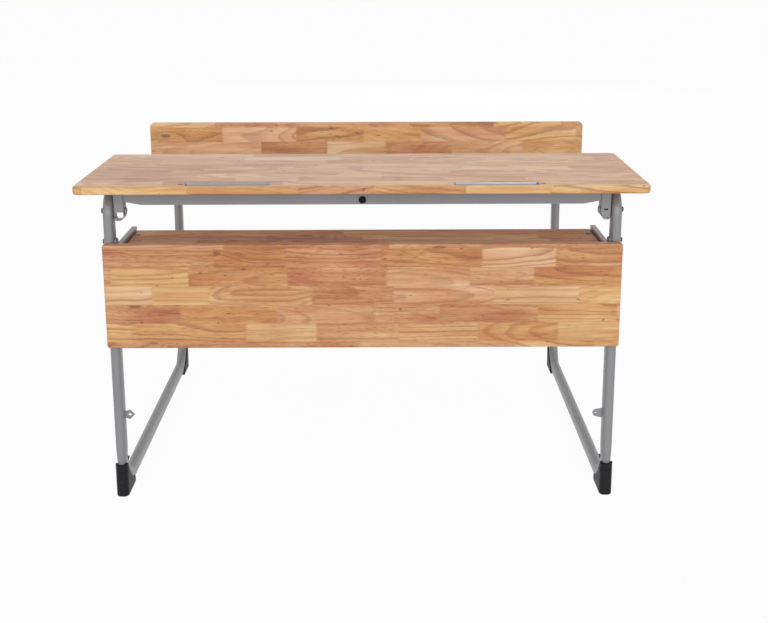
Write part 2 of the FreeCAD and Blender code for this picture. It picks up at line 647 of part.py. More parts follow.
def book_shelf():
    """Board between the rails, tight behind the modesty panel."""
    width = 2 * (RAIL_INNER_X - SHELF_FIT)
    solid = board(width, SHELF_DEPTH, SHELF_CORNER)
    solid.translate(vec(0, PANEL_BACK_Y, SHELF_TOP - BOARD_THICKNESS))
    tools = []
    for point in shelf_screw_points():
        sink = Part.makeCone(SCREW_HEAD_RADIUS + HOLE_FIT, PILOT_RADIUS, SCREW_HEAD, point, -Z_AXIS)
        drill = rod(point, point - Z_AXIS * (BOARD_THICKNESS + OVERLAP), PILOT_RADIUS)
        tools += both_sides(sink) + both_sides(drill)
    return solid.cut(tools)


def shelf_screws():
    screws = []
    for point in shelf_screw_points():
        screws += both_sides(countersunk_screw(point))
    return Part.makeCompound(screws)


def shelf_rail(side):
    """Box-section rail on the leg's inner face, with tabs under the shelf and an ear for its bolt."""
    start_y, end_y = PANEL_BACK_Y, PANEL_BACK_Y + SHELF_DEPTH
    tube = block(vec(RAIL_INNER_X, start_y, RAIL_BOTTOM), vec(INNER_X, end_y, RAIL_TOP))
    bore = block(vec(RAIL_INNER_X + RAIL_WALL, start_y - OVERLAP, RAIL_BOTTOM + RAIL_WALL),
                 vec(INNER_X - RAIL_WALL, end_y + OVERLAP, RAIL_TOP - RAIL_WALL))
    rail = tube.cut(bore)
    for point in shelf_screw_points():
        tab = block(vec(RAIL_INNER_X - TAB_REACH, point.y - TAB_LENGTH / 2, RAIL_BOTTOM),
                    vec(RAIL_INNER_X, point.y + TAB_LENGTH / 2, RAIL_BOTTOM + TAB_SHEET))
        drill = rod(point, point - Z_AXIS * (BOARD_THICKNESS + TAB_SHEET + OVERLAP), PILOT_RADIUS)
        rail = rail.fuse(tab.cut(drill))
    ear = block(vec(INNER_X - EAR_SHEET, LEG_Y - EAR_LENGTH / 2, RAIL_TOP),
                vec(INNER_X, LEG_Y + EAR_LENGTH / 2, EAR_TOP))
    ear = ear.cut(rod(RAIL_BOLT_POINT, RAIL_BOLT_POINT - X_AXIS * RAIL_BOLT_SHANK, BORE_RADIUS))
    return for_side(rail.fuse(ear), side)


def shelf_rail_caps():
    """Plugs in the rails' rear ends."""
    end_y = PANEL_BACK_Y + SHELF_DEPTH
    inset = RAIL_WALL + PLUG_FIT
    cap = block(vec(RAIL_INNER_X, end_y, RAIL_BOTTOM), vec(INNER_X, end_y + RAIL_CAP, RAIL_TOP))
    stub = block(vec(RAIL_INNER_X + inset, end_y - RAIL_CAP_STUB, RAIL_BOTTOM + inset),
                 vec(INNER_X - inset, end_y, RAIL_TOP - inset))
    return Part.makeCompound(both_sides(cap.fuse(stub)))


def shelf_rail_bolts():
    """Bolts from outside the legs into the rails' ears, each with its nut."""
    bolt = head_and_shank(RAIL_BOLT_POINT, -X_AXIS, RAIL_BOLT_SHANK, BOLT_RADIUS,
                          BOLT_HEAD_RADIUS, BOLT_HEAD)
    seat = RAIL_BOLT_POINT - X_AXIS * (TUBE_WIDTH + EAR_SHEET)
    nut = rod(seat, seat - X_AXIS * NUT_HEIGHT, BOLT_HEAD_RADIUS)
    return Part.makeCompound(both_sides(bolt.fuse(nut)))


def eye_lug(side):
    """Flat eye welded to the front leg's inner face."""
    eye_x = INNER_X - LUG_REACH + LUG_RADIUS
    low_y = LEG_Y - LUG_SHEET / 2
    eye = rod(vec(eye_x, low_y, LUG_HEIGHT), vec(eye_x, low_y + LUG_SHEET, LUG_HEIGHT), LUG_RADIUS)
    neck = block(vec(eye_x, low_y, LUG_HEIGHT - LUG_RADIUS),
                 vec(INNER_X, low_y + LUG_SHEET, LUG_HEIGHT + LUG_RADIUS))
    hole = rod(vec(eye_x, low_y - OVERLAP, LUG_HEIGHT), vec(eye_x, low_y + LUG_SHEET + OVERLAP, LUG_HEIGHT),
               LUG_HOLE_RADIUS)
    return for_side(eye.fuse(neck).cut(hole).removeSplitter(), side)


def seat_rail_ys():
    return [SEAT_FRONT_Y + inset for inset in SEAT_RAIL_INSETS]


def seat_screw_points(rail_y):
    """Under one seat rail, along its length."""
    bottom = SEAT_UNDERSIDE - SEAT_RAIL_HEIGHT
    return [vec(SEAT_SCREW_SPACING * place, rail_y, bottom) for place in (-1, 0, 1)]


def bench_seat():
    solid = board(SEAT_WIDTH, SEAT_DEPTH, SEAT_CORNER)
    solid.translate(vec(0, SEAT_FRONT_Y, SEAT_UNDERSIDE))
    tools = []
    for rail_y in seat_rail_ys():
        tools += bolt_holes(seat_screw_points(rail_y), Z_AXIS, SEAT_RAIL_HEIGHT + SCREW_BITE,
                            PILOT_RADIUS)
    return solid.cut(tools)


def seat_rail(rail_y):
    """Box-section rail between the seat arms."""
    low = vec(-INNER_X, rail_y - SEAT_RAIL_DEPTH / 2, SEAT_UNDERSIDE - SEAT_RAIL_HEIGHT)
    high = vec(INNER_X, rail_y + SEAT_RAIL_DEPTH / 2, SEAT_UNDERSIDE)
    wall = vec(-OVERLAP, SEAT_RAIL_WALL, SEAT_RAIL_WALL)
    tube = block(low, high).cut(block(low + wall, high - wall))
    return tube.cut(bolt_holes(seat_screw_points(rail_y), Z_AXIS, SEAT_RAIL_HEIGHT + OVERLAP,
                               PILOT_RADIUS))


def seat_screws():
    screws = []
    for rail_y in seat_rail_ys():
        for point in seat_screw_points(rail_y):
            screws.append(head_and_shank(point, Z_AXIS, SEAT_RAIL_HEIGHT + SCREW_BITE, SCREW_RADIUS,
                                         SCREW_HEAD_RADIUS, SCREW_HEAD))
    return Part.makeCompound(screws)


def seat_arm_bar(inset):
    """The right seat arm as a bar, from its front end to the upright's centre line."""
    start_y = SEAT_FRONT_Y + SEAT_ARM_INSET
    return oval_bar(vec(TUBE_X, start_y, SEAT_ARM_Z), Y_AXIS, upright_y(SEAT_ARM_Z) - start_y, Z_AXIS,
                    TUBE_WIDTH - 2 * inset, TUBE_DEPTH - 2 * inset)


def seat_arm(side):
    """Oval tube welded to the upright's front, under the seat's end."""
    return for_side(seat_arm_bar(0.0).cut([seat_arm_bar(TUBE_WALL), FRAME_BAR]), side)


def seat_arm_plugs():
    plug = end_plug(vec(TUBE_X, SEAT_FRONT_Y + SEAT_ARM_INSET, SEAT_ARM_Z), -Y_AXIS, Z_AXIS)
    return Part.makeCompound(both_sides(plug))


def seat_brace(side):
    """Round strut from the upright up to the seat arm."""
    foot = vec(TUBE_X, upright_y(BRACE_FOOT_HEIGHT), BRACE_FOOT_HEIGHT)
    head = vec(TUBE_X, SEAT_FRONT_Y + BRACE_HEAD_INSET, SEAT_ARM_Z)
    bar = rod(foot, head, BRACE_RADIUS)
    bore = rod(foot, head, BRACE_RADIUS - BRACE_WALL)
    return for_side(bar.cut([bore, FRAME_BAR, seat_arm_bar(0.0)]), side)


def backrest_panel():
    solid = upright_board(BACKREST_WIDTH, BACKREST_HEIGHT, BACKREST_CORNER, BACKREST_FRONT_Y,
                          BACKREST_BOTTOM)
    tools = []
    for hole in bolt_holes(BACKREST_BOLT_POINTS, -Y_AXIS, BACK_BOLT_SHANK, BORE_RADIUS):
        tools += both_sides(hole)
    return solid.cut(tools)


def all_pieces():
    """Every sub-part by its name."""
    pieces = {
        "desktop": desktop(),
        "lid_channel": lid_channel(),
        "lid_bumper": lid_bumper(),
        "lid_screws": lid_screws(),
        "lid_rest_pads": lid_rest_pads(),
        "hinge_nuts": hinge_nuts(),
        "hinge_washers": hinge_washers(),
        "modesty_panel": modesty_panel(),
        "panel_bolts": saddled_bolts(PANEL_BOLT_POINTS),
        "panel_saddle_washers": saddle_washers(PANEL_BOLT_POINTS),
        "book_shelf": book_shelf(),
        "shelf_screws": shelf_screws(),
        "shelf_rail_caps": shelf_rail_caps(),
        "shelf_rail_bolts": shelf_rail_bolts(),
        "bench_seat": bench_seat(),
        "seat_screws": seat_screws(),
        "seat_arm_plugs": seat_arm_plugs(),
        "backrest_panel": backrest_panel(),
        "backrest_bolts": saddled_bolts(BACKREST_BOLT_POINTS),
        "backrest_saddle_washers": saddle_washers(BACKREST_BOLT_POINTS),
    }
    for name, rail_y in zip(("front_seat_rail", "rear_seat_rail"), seat_rail_ys()):
        pieces[name] = seat_rail(rail_y)
    for name, side in (("left", -1), ("right", 1)):
        pieces[name + "_side_frame"] = side_frame(side)
        pieces[name + "_front_shoe"] = shoe(side, False)
        pieces[name + "_rear_shoe"] = shoe(side, True)
        pieces[name + "_arm_plug"] = arm_plug(side)
        pieces[name + "_upright_plug"] = upright_plug(side)
        pieces[name + "_hinge_bracket"] = hinge_bracket(side)
        pieces[name + "_hinge_pin"] = hinge_pin(side)
        pieces[name + "_pen_tray"] = pen_tray(side)
        pieces[name + "_shelf_rail"] = shelf_rail(side)
        pieces[name + "_eye_lug"] = eye_lug(side)
        pieces[name + "_seat_arm"] = seat_arm(side)
        pieces[name + "_seat_brace"] = seat_brace(side)
    return pieces


os.makedirs("parts", exist_ok=True)
for node, shape in all_pieces().items():
    shape.exportStep(f"parts/{node}.step")
    print(node, len(shape.Solids), "solids", shape.isValid(), round(shape.Volume))
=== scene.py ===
"""Looks of a two-seat school desk: lacquered stave-wood boards on painted oval-tube frames."""
import json
import math

import bmesh
import bpy
from mathutils import Euler, Matrix, Vector

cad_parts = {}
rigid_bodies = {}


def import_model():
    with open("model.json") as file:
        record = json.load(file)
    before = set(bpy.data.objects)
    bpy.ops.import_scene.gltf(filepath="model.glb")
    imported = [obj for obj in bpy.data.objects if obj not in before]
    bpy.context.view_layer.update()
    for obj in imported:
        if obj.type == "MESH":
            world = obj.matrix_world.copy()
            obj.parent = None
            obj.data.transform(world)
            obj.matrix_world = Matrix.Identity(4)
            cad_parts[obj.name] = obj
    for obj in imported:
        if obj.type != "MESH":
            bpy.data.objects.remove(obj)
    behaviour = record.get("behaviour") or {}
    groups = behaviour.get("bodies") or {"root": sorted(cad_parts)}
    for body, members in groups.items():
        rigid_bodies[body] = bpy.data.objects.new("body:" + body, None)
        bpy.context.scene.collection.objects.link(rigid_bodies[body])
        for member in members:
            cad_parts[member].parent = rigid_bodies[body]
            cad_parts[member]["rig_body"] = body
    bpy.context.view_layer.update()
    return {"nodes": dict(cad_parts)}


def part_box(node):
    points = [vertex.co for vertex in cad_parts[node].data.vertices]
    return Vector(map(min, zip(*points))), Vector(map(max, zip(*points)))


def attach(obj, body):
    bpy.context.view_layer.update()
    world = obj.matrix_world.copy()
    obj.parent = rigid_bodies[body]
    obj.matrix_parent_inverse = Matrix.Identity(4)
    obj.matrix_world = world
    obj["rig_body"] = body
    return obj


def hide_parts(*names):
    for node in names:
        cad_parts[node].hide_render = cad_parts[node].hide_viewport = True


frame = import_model()

# Sizes in metres, beyond what the frame's boxes give
MM = 0.001
HAIR = 0.2 * MM
DOUBLE = 0.001 * MM             # points nearer than this are one
PASS = 2 * MM                   # how far a cutting shape passes its work
SMOOTH_ANGLE = math.radians(32)
TUBE_WIDTH, TUBE_DEPTH = 23 * MM, 36 * MM
TUBE_SIDES = 28
ARM_BEND, FOOT_BEND, BACK_BEND = 45 * MM, 75 * MM, 150 * MM
BEND_STEPS = 14
BEND_FLATTENING = 0.10          # share of the tube's depth lost in the middle of a bend
WAIST = 0.11                    # share of the leg's width lost where it enters its shoe
WAIST_TOP, WAIST_FULL, WAIST_FADE = 116 * MM, 84 * MM, 40 * MM
UPRIGHT_LEAN = math.radians(4.6)
UPRIGHT_BEND_HEIGHT = 440 * MM
PLUG_CAP, PLUG_ROUND = 4 * MM, 2.4 * MM
SHEET = 2 * MM                  # folded steel of the brackets and the channel
FOLD = 3.6 * MM                 # outer radius of a fold
FOLD_ANGLE = 0.3                # radians; a flatter edge isn't a fold

leg_low, leg_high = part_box("right_side_frame")
TUBE_X = (leg_low.x + leg_high.x) / 2
INNER_X = leg_low.x
OUTER_X = leg_high.x
LEG_Y = leg_low.y + TUBE_DEPTH / 2
RUNNER_Z = leg_low.z + TUBE_DEPTH / 2
UPRIGHT_Y = leg_high.y - TUBE_DEPTH / 2
REAR_CORNER_Y = UPRIGHT_Y - (UPRIGHT_BEND_HEIGHT - RUNNER_Z) * math.tan(UPRIGHT_LEAN)
pin_low, pin_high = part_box("right_hinge_pin")
HINGE_Y, HINGE_Z = (pin_low.y + pin_high.y) / 2, (pin_low.z + pin_high.z) / 2
SIDES = (("left", -1), ("right", 1))

# Camera, fitted to the photograph's edges
CAMERA_PLACE = (0.0377, -2.8377, 1.2038)
CAMERA_PITCH, CAMERA_YAW, CAMERA_ROLL = 0.2261, -0.0035, -0.0024
CAMERA_LENS, CAMERA_SENSOR = 54.41, 36.0
CAMERA_SHIFT = -0.12


def clamp(value):
    return min(1.0, max(0.0, value))


def rgb(red, green, blue):
    """Linear colour of a display colour given in 0 to 255."""
    parts = []
    for value in (red, green, blue):
        share = value / 255
        parts.append(share / 12.92 if share <= 0.04045 else ((share + 0.055) / 1.055) ** 2.4)
    return (*parts, 1.0)


class Flow:
    """A shader socket that takes part in Python arithmetic."""

    def __init__(self, finish, socket):
        self.finish = finish
        self.socket = socket

    def out(self, name):
        """Another output of the same node."""
        return Flow(self.finish, self.socket.node.outputs[name])

    def math(self, operation, *others):
        return self.finish.node("ShaderNodeMath", {"operation": operation}, dict(enumerate((self, *others))))

    def __add__(self, other):
        return self.math("ADD", other)

    def __sub__(self, other):
        return self.math("SUBTRACT", other)

    def __rsub__(self, other):
        return (self * -1.0) + other

    def __mul__(self, other):
        return self.math("MULTIPLY", other)

    def __truediv__(self, other):
        return self.math("DIVIDE", other)

    def __lt__(self, other):
        return self.math("LESS_THAN", other)

    __radd__ = __add__
    __rmul__ = __mul__


class Finish:
    """A material, or the world, and the nodes that make its look."""

    def __init__(self, name, store=bpy.data.materials, shader="Principled BSDF"):
        self.owner = store.new(name)
        self.owner.use_nodes = True
        self.tree = self.owner.node_tree
        self.shader = self.tree.nodes[shader]

    def node(self, kind, settings=None, inputs=None, output=0):
        """Adds a node: its settings first, then the values or links of its sockets."""
        made = self.tree.nodes.new(kind)
        for key, value in (settings or {}).items():
            if key == "stops":
                self.set_stops(made.color_ramp, value)
            else:
                setattr(made, key, value)
        for key, value in (inputs or {}).items():
            self.feed(made.inputs[key], value)
        return Flow(self, made.outputs[output])

    def feed(self, socket, value):
        if isinstance(value, Flow):
            self.tree.links.new(value.socket, socket)
        else:
            socket.default_value = value

    @staticmethod
    def set_stops(ramp, stops):
        while len(ramp.elements) < len(stops):
            ramp.elements.new(1.0)
        for element, (place, colour) in zip(ramp.elements, stops):
            element.position = place
            element.color = colour

    def place(self):
        """The three coordinates of a point of the object."""
        spot = self.node("ShaderNodeTexCoord", output="Object")
        parts = self.node("ShaderNodeSeparateXYZ", inputs={0: spot})
        return parts.out("X"), parts.out("Y"), parts.out("Z")

    def point(self, x, y, z):
        return self.node("ShaderNodeCombineXYZ", inputs={"X": x, "Y": y, "Z": z})

    def noise(self, x, y, z, detail):
        return self.node("ShaderNodeTexNoise", inputs={"Vector": self.point(x, y, z), "Scale": 1.0,
                                                       "Detail": detail})

    def grain(self, along, across, detail):
        """Noise with one scale along X and another across it, in waves per metre."""
        x, y, z = self.place()
        return self.noise(x * along, y * across, z * across, detail)

    def between(self, value, low, high):
        """0 below low, 1 above high and a smooth step between them."""
        return self.node("ShaderNodeMapRange", {"interpolation_type": "SMOOTHSTEP"},
                         {"Value": value, "From Min": low, "From Max": high})

    def mix(self, share, first, second, blend="MIX"):
        return self.node("ShaderNodeMix", {"data_type": "RGBA", "blend_type": blend},
                         {0: share, 6: first, 7: second}, 2)

    def ramp(self, value, stops):
        return self.node("ShaderNodeValToRGB", {"stops": stops}, {0: value})

    def bump(self, height, strength, distance):
        return self.node("ShaderNodeBump", inputs={"Strength": strength, "Distance": distance,
                                                   "Height": height})

    def dress(self, **sockets):
        """Feeds the surface shader; an underscore stands for a space."""
        for name, value in sockets.items():
            self.feed(self.shader.inputs[name.replace("_", " ")], value)
        return self.owner


# Stave wood
STAVE_WIDTH = 42 * MM
BLOCK_LENGTH = 190 * MM
LENGTH_SPREAD = 1.1
TOOTH_PITCH, TOOTH_LENGTH = 4.2 * MM, 6 * MM
BOARD_SPACING = 150 * MM        # boards in different steps of this height or depth differ in grain
RINGS_PER_METRE = 105.0
HEART_ASIDE, HEART_DEPTH = 70 * MM, 45 * MM     # how far the trunk's heart may lie from a block
GRAIN_RUNOUT, GRAIN_SWAY, KNOT_PUSH = 60 * MM, 20 * MM, 20 * MM
KNOT_REACH, KNOT_CHANCE = 0.34, 0.3     # shares of a cell's size and of all cells
WOOD_TONES = [
    (0.0, rgb(238, 204, 163)),
    (0.3, rgb(222, 176, 129)),
    (0.6, rgb(205, 148, 102)),
    (0.85, rgb(188, 121, 83)),
    (1.0, rgb(168, 97, 64)),
]
WOOD_GOLD = rgb(255, 250, 226)
WOOD_ROSE = rgb(253, 241, 246)
WOOD_LINE = rgb(146, 86, 48)
WOOD_PORE = rgb(134, 76, 46)
WOOD_KNOT = rgb(104, 58, 32)


def stave_wood(name, across_axis, seed, lacquer, rough, gloss=0.15):
    """Finger-jointed staves along X under clear lacquer; the staves lie side by side along one axis."""
    look = Finish(name)
    x, y, z = look.place()
    across, through = (y, z) if across_axis == "Y" else (z, y)

    rows = across / STAVE_WIDTH + seed
    row = rows.math("FLOOR")
    layer = (through / BOARD_SPACING).math("FLOOR")
    row_chance = look.node("ShaderNodeTexWhiteNoise", {"noise_dimensions": "1D"},
                           {"W": row + layer * 17.3 + seed})
    teeth = across.math("PINGPONG", TOOTH_PITCH / 2) * (2 * TOOTH_LENGTH / TOOTH_PITCH)
    uneven = look.noise(x / BLOCK_LENGTH, row * 5.3, layer * 3.1, 0.0)
    run = (x + teeth) / BLOCK_LENGTH + row_chance * 9.0 + uneven * LENGTH_SPREAD
    block_index = run.math("FLOOR")
    in_block = run - block_index
    chance = look.node("ShaderNodeTexWhiteNoise", {"noise_dimensions": "3D"},
                       {"Vector": look.point(block_index, row, layer + seed)}, "Color")
    luck = look.node("ShaderNodeSeparateColor", inputs={0: chance})
    tone, cut_side, lean = luck.out("Red"), luck.out("Green"), luck.out("Blue")
    hue = (tone * 7.31 + lean).math("FRACT")

    own_x = x + tone * 8.0
    own_across = across + cut_side * 6.0
    own_through = through + lean * 7.0

    def figure(along, beside, detail):
        """Noise of each block's own, in waves per metre along the grain and beside it."""
        return look.noise(own_x * along, own_across * beside, own_through * beside, detail)

    # Knots bend the growth rings around them
    cells = look.node("ShaderNodeTexVoronoi", {"voronoi_dimensions": "2D"},
                      {"Vector": look.point(own_x * 3.2, own_across * 9.0, 0.0), "Scale": 1.0})
    cell_luck = look.node("ShaderNodeSeparateColor", inputs={0: cells.out("Color")})
    knot = look.between(cells.out("Distance"), KNOT_REACH, 0.0) * (cell_luck.out("Red") < KNOT_CHANCE)

    # Growth rings of a trunk whose heart lies at a chance place beside each block
    aside = (rows - row - 0.5) * STAVE_WIDTH - (cut_side - 0.5) * HEART_ASIDE
    inside = through - (layer + 0.5) * BOARD_SPACING
    depth = lean * HEART_DEPTH + inside * 0.8 + (in_block - 0.5) * (hue - 0.5) * GRAIN_RUNOUT
    sway = (figure(4.0, 14.0, 3.0) - 0.5) * GRAIN_SWAY
    radius = (aside * aside + depth * depth).math("SQRT") + sway + knot * KNOT_PUSH
    uneven_years = look.noise(radius * 60.0, tone * 40.0, 0.0, 1.0)
    phase = (radius * RINGS_PER_METRE + uneven_years * 1.8).math("FRACT")
    lines = look.between(phase, 0.45, 0.92) * look.between(phase, 1.0, 0.94)

    fine = figure(11.0, 330.0, 4.0)
    broad = figure(3.5, 75.0, 3.0)
    cloud = figure(7.0, 20.0, 2.0)
    pores = look.between(figure(60.0, 500.0, 1.0), 0.54, 0.66)
    specks = look.between(figure(60.0, 130.0, 0.0), 0.8, 0.85)

    shade = tone * 0.47 + (cloud - 0.5) * 0.85 + (broad - 0.5) * 0.85 + (fine - 0.5) * 0.5 + 0.22
    colour = look.ramp(shade, WOOD_TONES)
    colour = look.mix(look.between(hue, 0.45, 0.8), colour, WOOD_GOLD, "MULTIPLY")
    colour = look.mix(look.between(hue, 0.3, 0.12), colour, WOOD_ROSE, "MULTIPLY")
    colour = look.mix(lines * (0.14 + cut_side * 0.46), colour, WOOD_LINE)
    colour = look.mix(pores * (0.06 + tone * 0.4), colour, WOOD_PORE)
    spots = specks + look.between(knot, 0.92, 0.98)
    colour = look.mix(spots.math("MINIMUM", 1.0) * 0.6, colour, WOOD_KNOT)
    near_joint = 0.5 - (in_block - 0.5).math("ABSOLUTE")
    joint = look.between(near_joint, 0.005, 0.0)
    near_glue = 0.5 - (rows - row - 0.5).math("ABSOLUTE")
    glue = look.between(near_glue, 0.014, 0.0)
    colour = look.mix(joint * 0.15 + glue * 0.08, colour, WOOD_LINE)

    height = fine * 0.5 - pores * 0.5 - lines * 0.2
    return look.dress(Base_Color=colour, Roughness=rough + fine * 0.12, IOR=1.4,
                      Normal=look.bump(height, 0.1, 0.2 * MM),
                      Coat_Weight=lacquer - pores * lacquer * 0.4, Coat_Roughness=gloss, Coat_IOR=1.45)


def painted_steel(name):
    """Satin grey powder coat with a fine orange-peel surface and a little wear."""
    look = Finish(name)
    peel = look.grain(700.0, 700.0, 2.0)
    cloud = look.grain(9.0, 9.0, 3.0)
    fleck = look.between(look.grain(1900.0, 1900.0, 0.0), 0.62, 0.75)
    colour = look.mix(cloud, rgb(131, 131, 135), rgb(148, 148, 151))
    colour = look.mix(fleck * 0.1, colour, rgb(176, 176, 180))
    return look.dress(Base_Color=colour, Metallic=0.15 + fleck * 0.06, Roughness=0.44 + peel * 0.1,
                      Normal=look.bump(peel, 0.02, 0.2 * MM),
                      Coat_Weight=0.4 - cloud * 0.15, Coat_Roughness=0.2, Coat_IOR=1.5)


def plated_steel(name):
    """Dull plated fasteners: bare metal with clouded patches and fine turning marks."""
    look = Finish(name)
    cloud = look.grain(160.0, 160.0, 3.0)
    fine = look.grain(2500.0, 2500.0, 1.0)
    colour = look.mix(cloud, rgb(56, 57, 58), rgb(98, 99, 98))
    return look.dress(Base_Color=colour, Metallic=0.85, Roughness=0.34 + cloud * 0.18,
                      Normal=look.bump(fine, 0.06, 0.1 * MM))


def brushed_metal(name):
    """Satin metal of the pen trays, brushed along its length."""
    look = Finish(name)
    brush = look.grain(18.0, 3200.0, 3.0)
    cloud = look.grain(24.0, 60.0, 2.0)
    colour = look.mix(brush * 0.6 + cloud * 0.3, rgb(120, 114, 116), rgb(165, 158, 160))
    return look.dress(Base_Color=colour, Metallic=0.8, Roughness=0.24 + brush * 0.16,
                      Normal=look.bump(brush, 0.1, 0.1 * MM))


def moulded_black(name, tint, rough, grain):
    """Black plastic or rubber with a fine moulded grain and scuffs."""
    look = Finish(name)
    x, y, z = look.place()
    skin = look.grain(1400.0, 1400.0, 2.0)
    scuff = look.between(look.noise(x * 60.0, y * 60.0, z * 240.0, 4.0), 0.55, 0.8)
    colour = look.mix(scuff * 0.35, tint, rgb(62, 61, 65))
    return look.dress(Base_Color=colour, Roughness=rough + scuff * 0.15, Specular_IOR_Level=0.18,
                      Normal=look.bump(skin, grain, 0.2 * MM))


# Each finish is a material and the record's slot that it stands for
FLAT_BOARD = (stave_wood("lacquered_staves_flat", "Y", 3.31, 0.35, 0.42), "lacquered_wood")
SHELF_BOARD = (stave_wood("matt_staves_flat", "Y", 7.64, 0.12, 0.6), "lacquered_wood")
PANEL_BOARD = (stave_wood("lacquered_staves_panel", "Z", 11.07, 0.35, 0.42), "lacquered_wood")
BACK_BOARD = (stave_wood("lacquered_staves_back", "Z", 0.833, 0.5, 0.36, 0.3), "lacquered_wood")
GREY_PAINT = (painted_steel("grey_powder_coat"), "grey_steel")
PLATED = (plated_steel("plated_fasteners"), "zinc_fasteners")
TRAY_METAL = (brushed_metal("brushed_tray_metal"), "tray_metal")
BLACK_PLASTIC = (moulded_black("black_moulded_plastic", rgb(28, 27, 31), 0.5, 0.06), "black_plastic")
BLACK_RUBBER = (moulded_black("black_moulded_rubber", rgb(18, 17, 18), 0.62, 0.12), "black_rubber")


def start(name, add, **options):
    """Adds a primitive at its place, with the place in its mesh, and nothing else selected."""
    bpy.ops.object.select_all(action="DESELECT")
    add(**options)
    piece = bpy.context.object
    piece.name = piece.data.name = name
    bpy.ops.object.transform_apply(location=True, rotation=True, scale=True)
    return piece


def block(name, low, high):
    low, high = Vector(low), Vector(high)
    return start(name, bpy.ops.mesh.primitive_cube_add, size=1, location=(low + high) / 2, scale=high - low)


def cylinder(name, begin, end, radius, sides=32):
    begin, end = Vector(begin), Vector(end)
    turn = (end - begin).to_track_quat("Z", "Y").to_euler()
    return start(name, bpy.ops.mesh.primitive_cylinder_add, vertices=sides, radius=radius,
                 depth=(end - begin).length, location=(begin + end) / 2, rotation=turn)


def centre_of(node):
    """The middle of a CAD node's box."""
    low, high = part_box(node)
    return (low + high) / 2


def select(*pieces):
    """Selects these pieces and nothing else, with the first one active."""
    bpy.ops.object.select_all(action="DESELECT")
    for piece in pieces:
        piece.select_set(True)
    bpy.context.view_layer.objects.active = pieces[0]


def edit(piece):
    """Opens one piece in edit mode."""
    select(piece)
    bpy.ops.object.mode_set(mode="EDIT")


def leave():
    bpy.ops.object.mode_set(mode="OBJECT")


def choose(piece, kind, test):
    """In edit mode, selects the points, edges or faces that pass a test."""
    bpy.ops.mesh.select_mode(type=kind)
    bpy.ops.mesh.select_all(action="DESELECT")
    shape = bmesh.from_edit_mesh(piece.data)
    shape.normal_update()
    for item in {"VERT": shape.verts, "EDGE": shape.edges, "FACE": shape.faces}[kind]:
        item.select_set(bool(test(item)))
    shape.select_flush_mode()
    bmesh.update_edit_mesh(piece.data)


def reshape(piece, move):
    """In edit mode, moves every point by a rule that changes its place."""
    shape = bmesh.from_edit_mesh(piece.data)
    for point in shape.verts:
        move(point.co)
    bmesh.update_edit_mesh(piece.data)


def middle(edge):
    return (edge.verts[0].co + edge.verts[1].co) / 2


def runs_along(edge, axis):
    """True for an edge that lies along the X, Y or Z axis."""
    way = (edge.verts[1].co - edge.verts[0].co).normalized()
    return abs(way["XYZ".index(axis)]) > 0.99


def is_sharp(edge):
    return edge.calc_face_angle(0.0) > math.radians(40)


def round_edges(piece, test, radius, steps):
    edit(piece)
    choose(piece, "EDGE", test)
    bpy.ops.mesh.bevel(offset=radius, segments=steps, affect="EDGES", clamp_overlap=True)
    leave()


def slice_at(place, normal):
    """In edit mode, cuts a line of edges through everything."""
    bpy.ops.mesh.select_all(action="SELECT")
    bpy.ops.mesh.bisect(plane_co=place, plane_no=normal)


def apply_modifier(piece, kind, **settings):
    select(piece)
    made = piece.modifiers.new(kind.lower(), kind)
    for key, value in settings.items():
        setattr(made, key, value)
    bpy.ops.object.modifier_apply(modifier=made.name)


def cut(piece, *tools):
    """Takes the tools' shapes out of the piece and removes the tools."""
    for tool in tools:
        apply_modifier(piece, "BOOLEAN", operation="DIFFERENCE", solver="EXACT", object=tool)
        bpy.data.objects.remove(tool)


def join(pieces):
    """One piece of several closed shapes, under the first one's name."""
    select(*pieces)
    bpy.ops.object.join()
    return pieces[0]


def moved_copy(piece, shift):
    twin = piece.copy()
    twin.data = piece.data.copy()
    bpy.context.collection.objects.link(twin)
    twin.data.transform(Matrix.Translation(shift))
    return twin


def repeat(piece, shifts):
    """The piece and its copies at other places, as one piece."""
    return join([piece] + [moved_copy(piece, shift) for shift in shifts])


def for_side(piece, sign):
    """Leaves a right-hand piece as it is, or turns it into the left-hand one."""
    if sign < 0:
        piece.data.transform(Matrix.Scale(-1, 4, (1, 0, 0)))
        piece.data.flip_normals()
    return piece


def both_sides(piece):
    """The right-hand piece with its twin on the left, as one piece."""
    return join([piece, for_side(moved_copy(piece, (0, 0, 0)), -1)])


def clean_up(piece, turn_outwards=True):
    """Merges doubles, and turns the faces outwards unless they already are."""
    edit(piece)
    bpy.ops.mesh.select_all(action="SELECT")
    bpy.ops.mesh.remove_doubles(threshold=DOUBLE)
    if turn_outwards:
        bpy.ops.mesh.normals_make_consistent(inside=False)
    leave()


def present(piece, node, finish):
    """Smooths a finished piece, gives it its finish and lets it stand for its CAD node."""
    material, slot = finish
    select(piece)
    bpy.ops.object.shade_smooth_by_angle(angle=SMOOTH_ANGLE)
    apply_modifier(piece, "WEIGHTED_NORMAL", keep_sharp=True, weight=100)
    piece.data.materials.clear()
    piece.data.materials.append(material)
    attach(piece, frame["nodes"][node]["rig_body"])
    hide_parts(node)


def ease_end(piece, end, outward, rounding, steps):
    """Rounds the rim of a piece's flat end."""
    round_edges(piece, lambda edge: is_sharp(edge) and abs((middle(edge) - end).dot(outward)) < HAIR,
                rounding, steps)
    return piece


def disc(name, begin, end, radius, rounding, steps=2, sides=32):
    """Round or many-sided body whose far rim is eased."""
    end = Vector(end)
    outward = (end - Vector(begin)).normalized()
    return ease_end(cylinder(name, begin, end, radius, sides), end, outward, rounding, steps)


def eased_block(name, low, high, ease, steps=2):
    """Block with all its edges eased."""
    piece = block(name, low, high)
    round_edges(piece, is_sharp, ease, steps)
    return piece


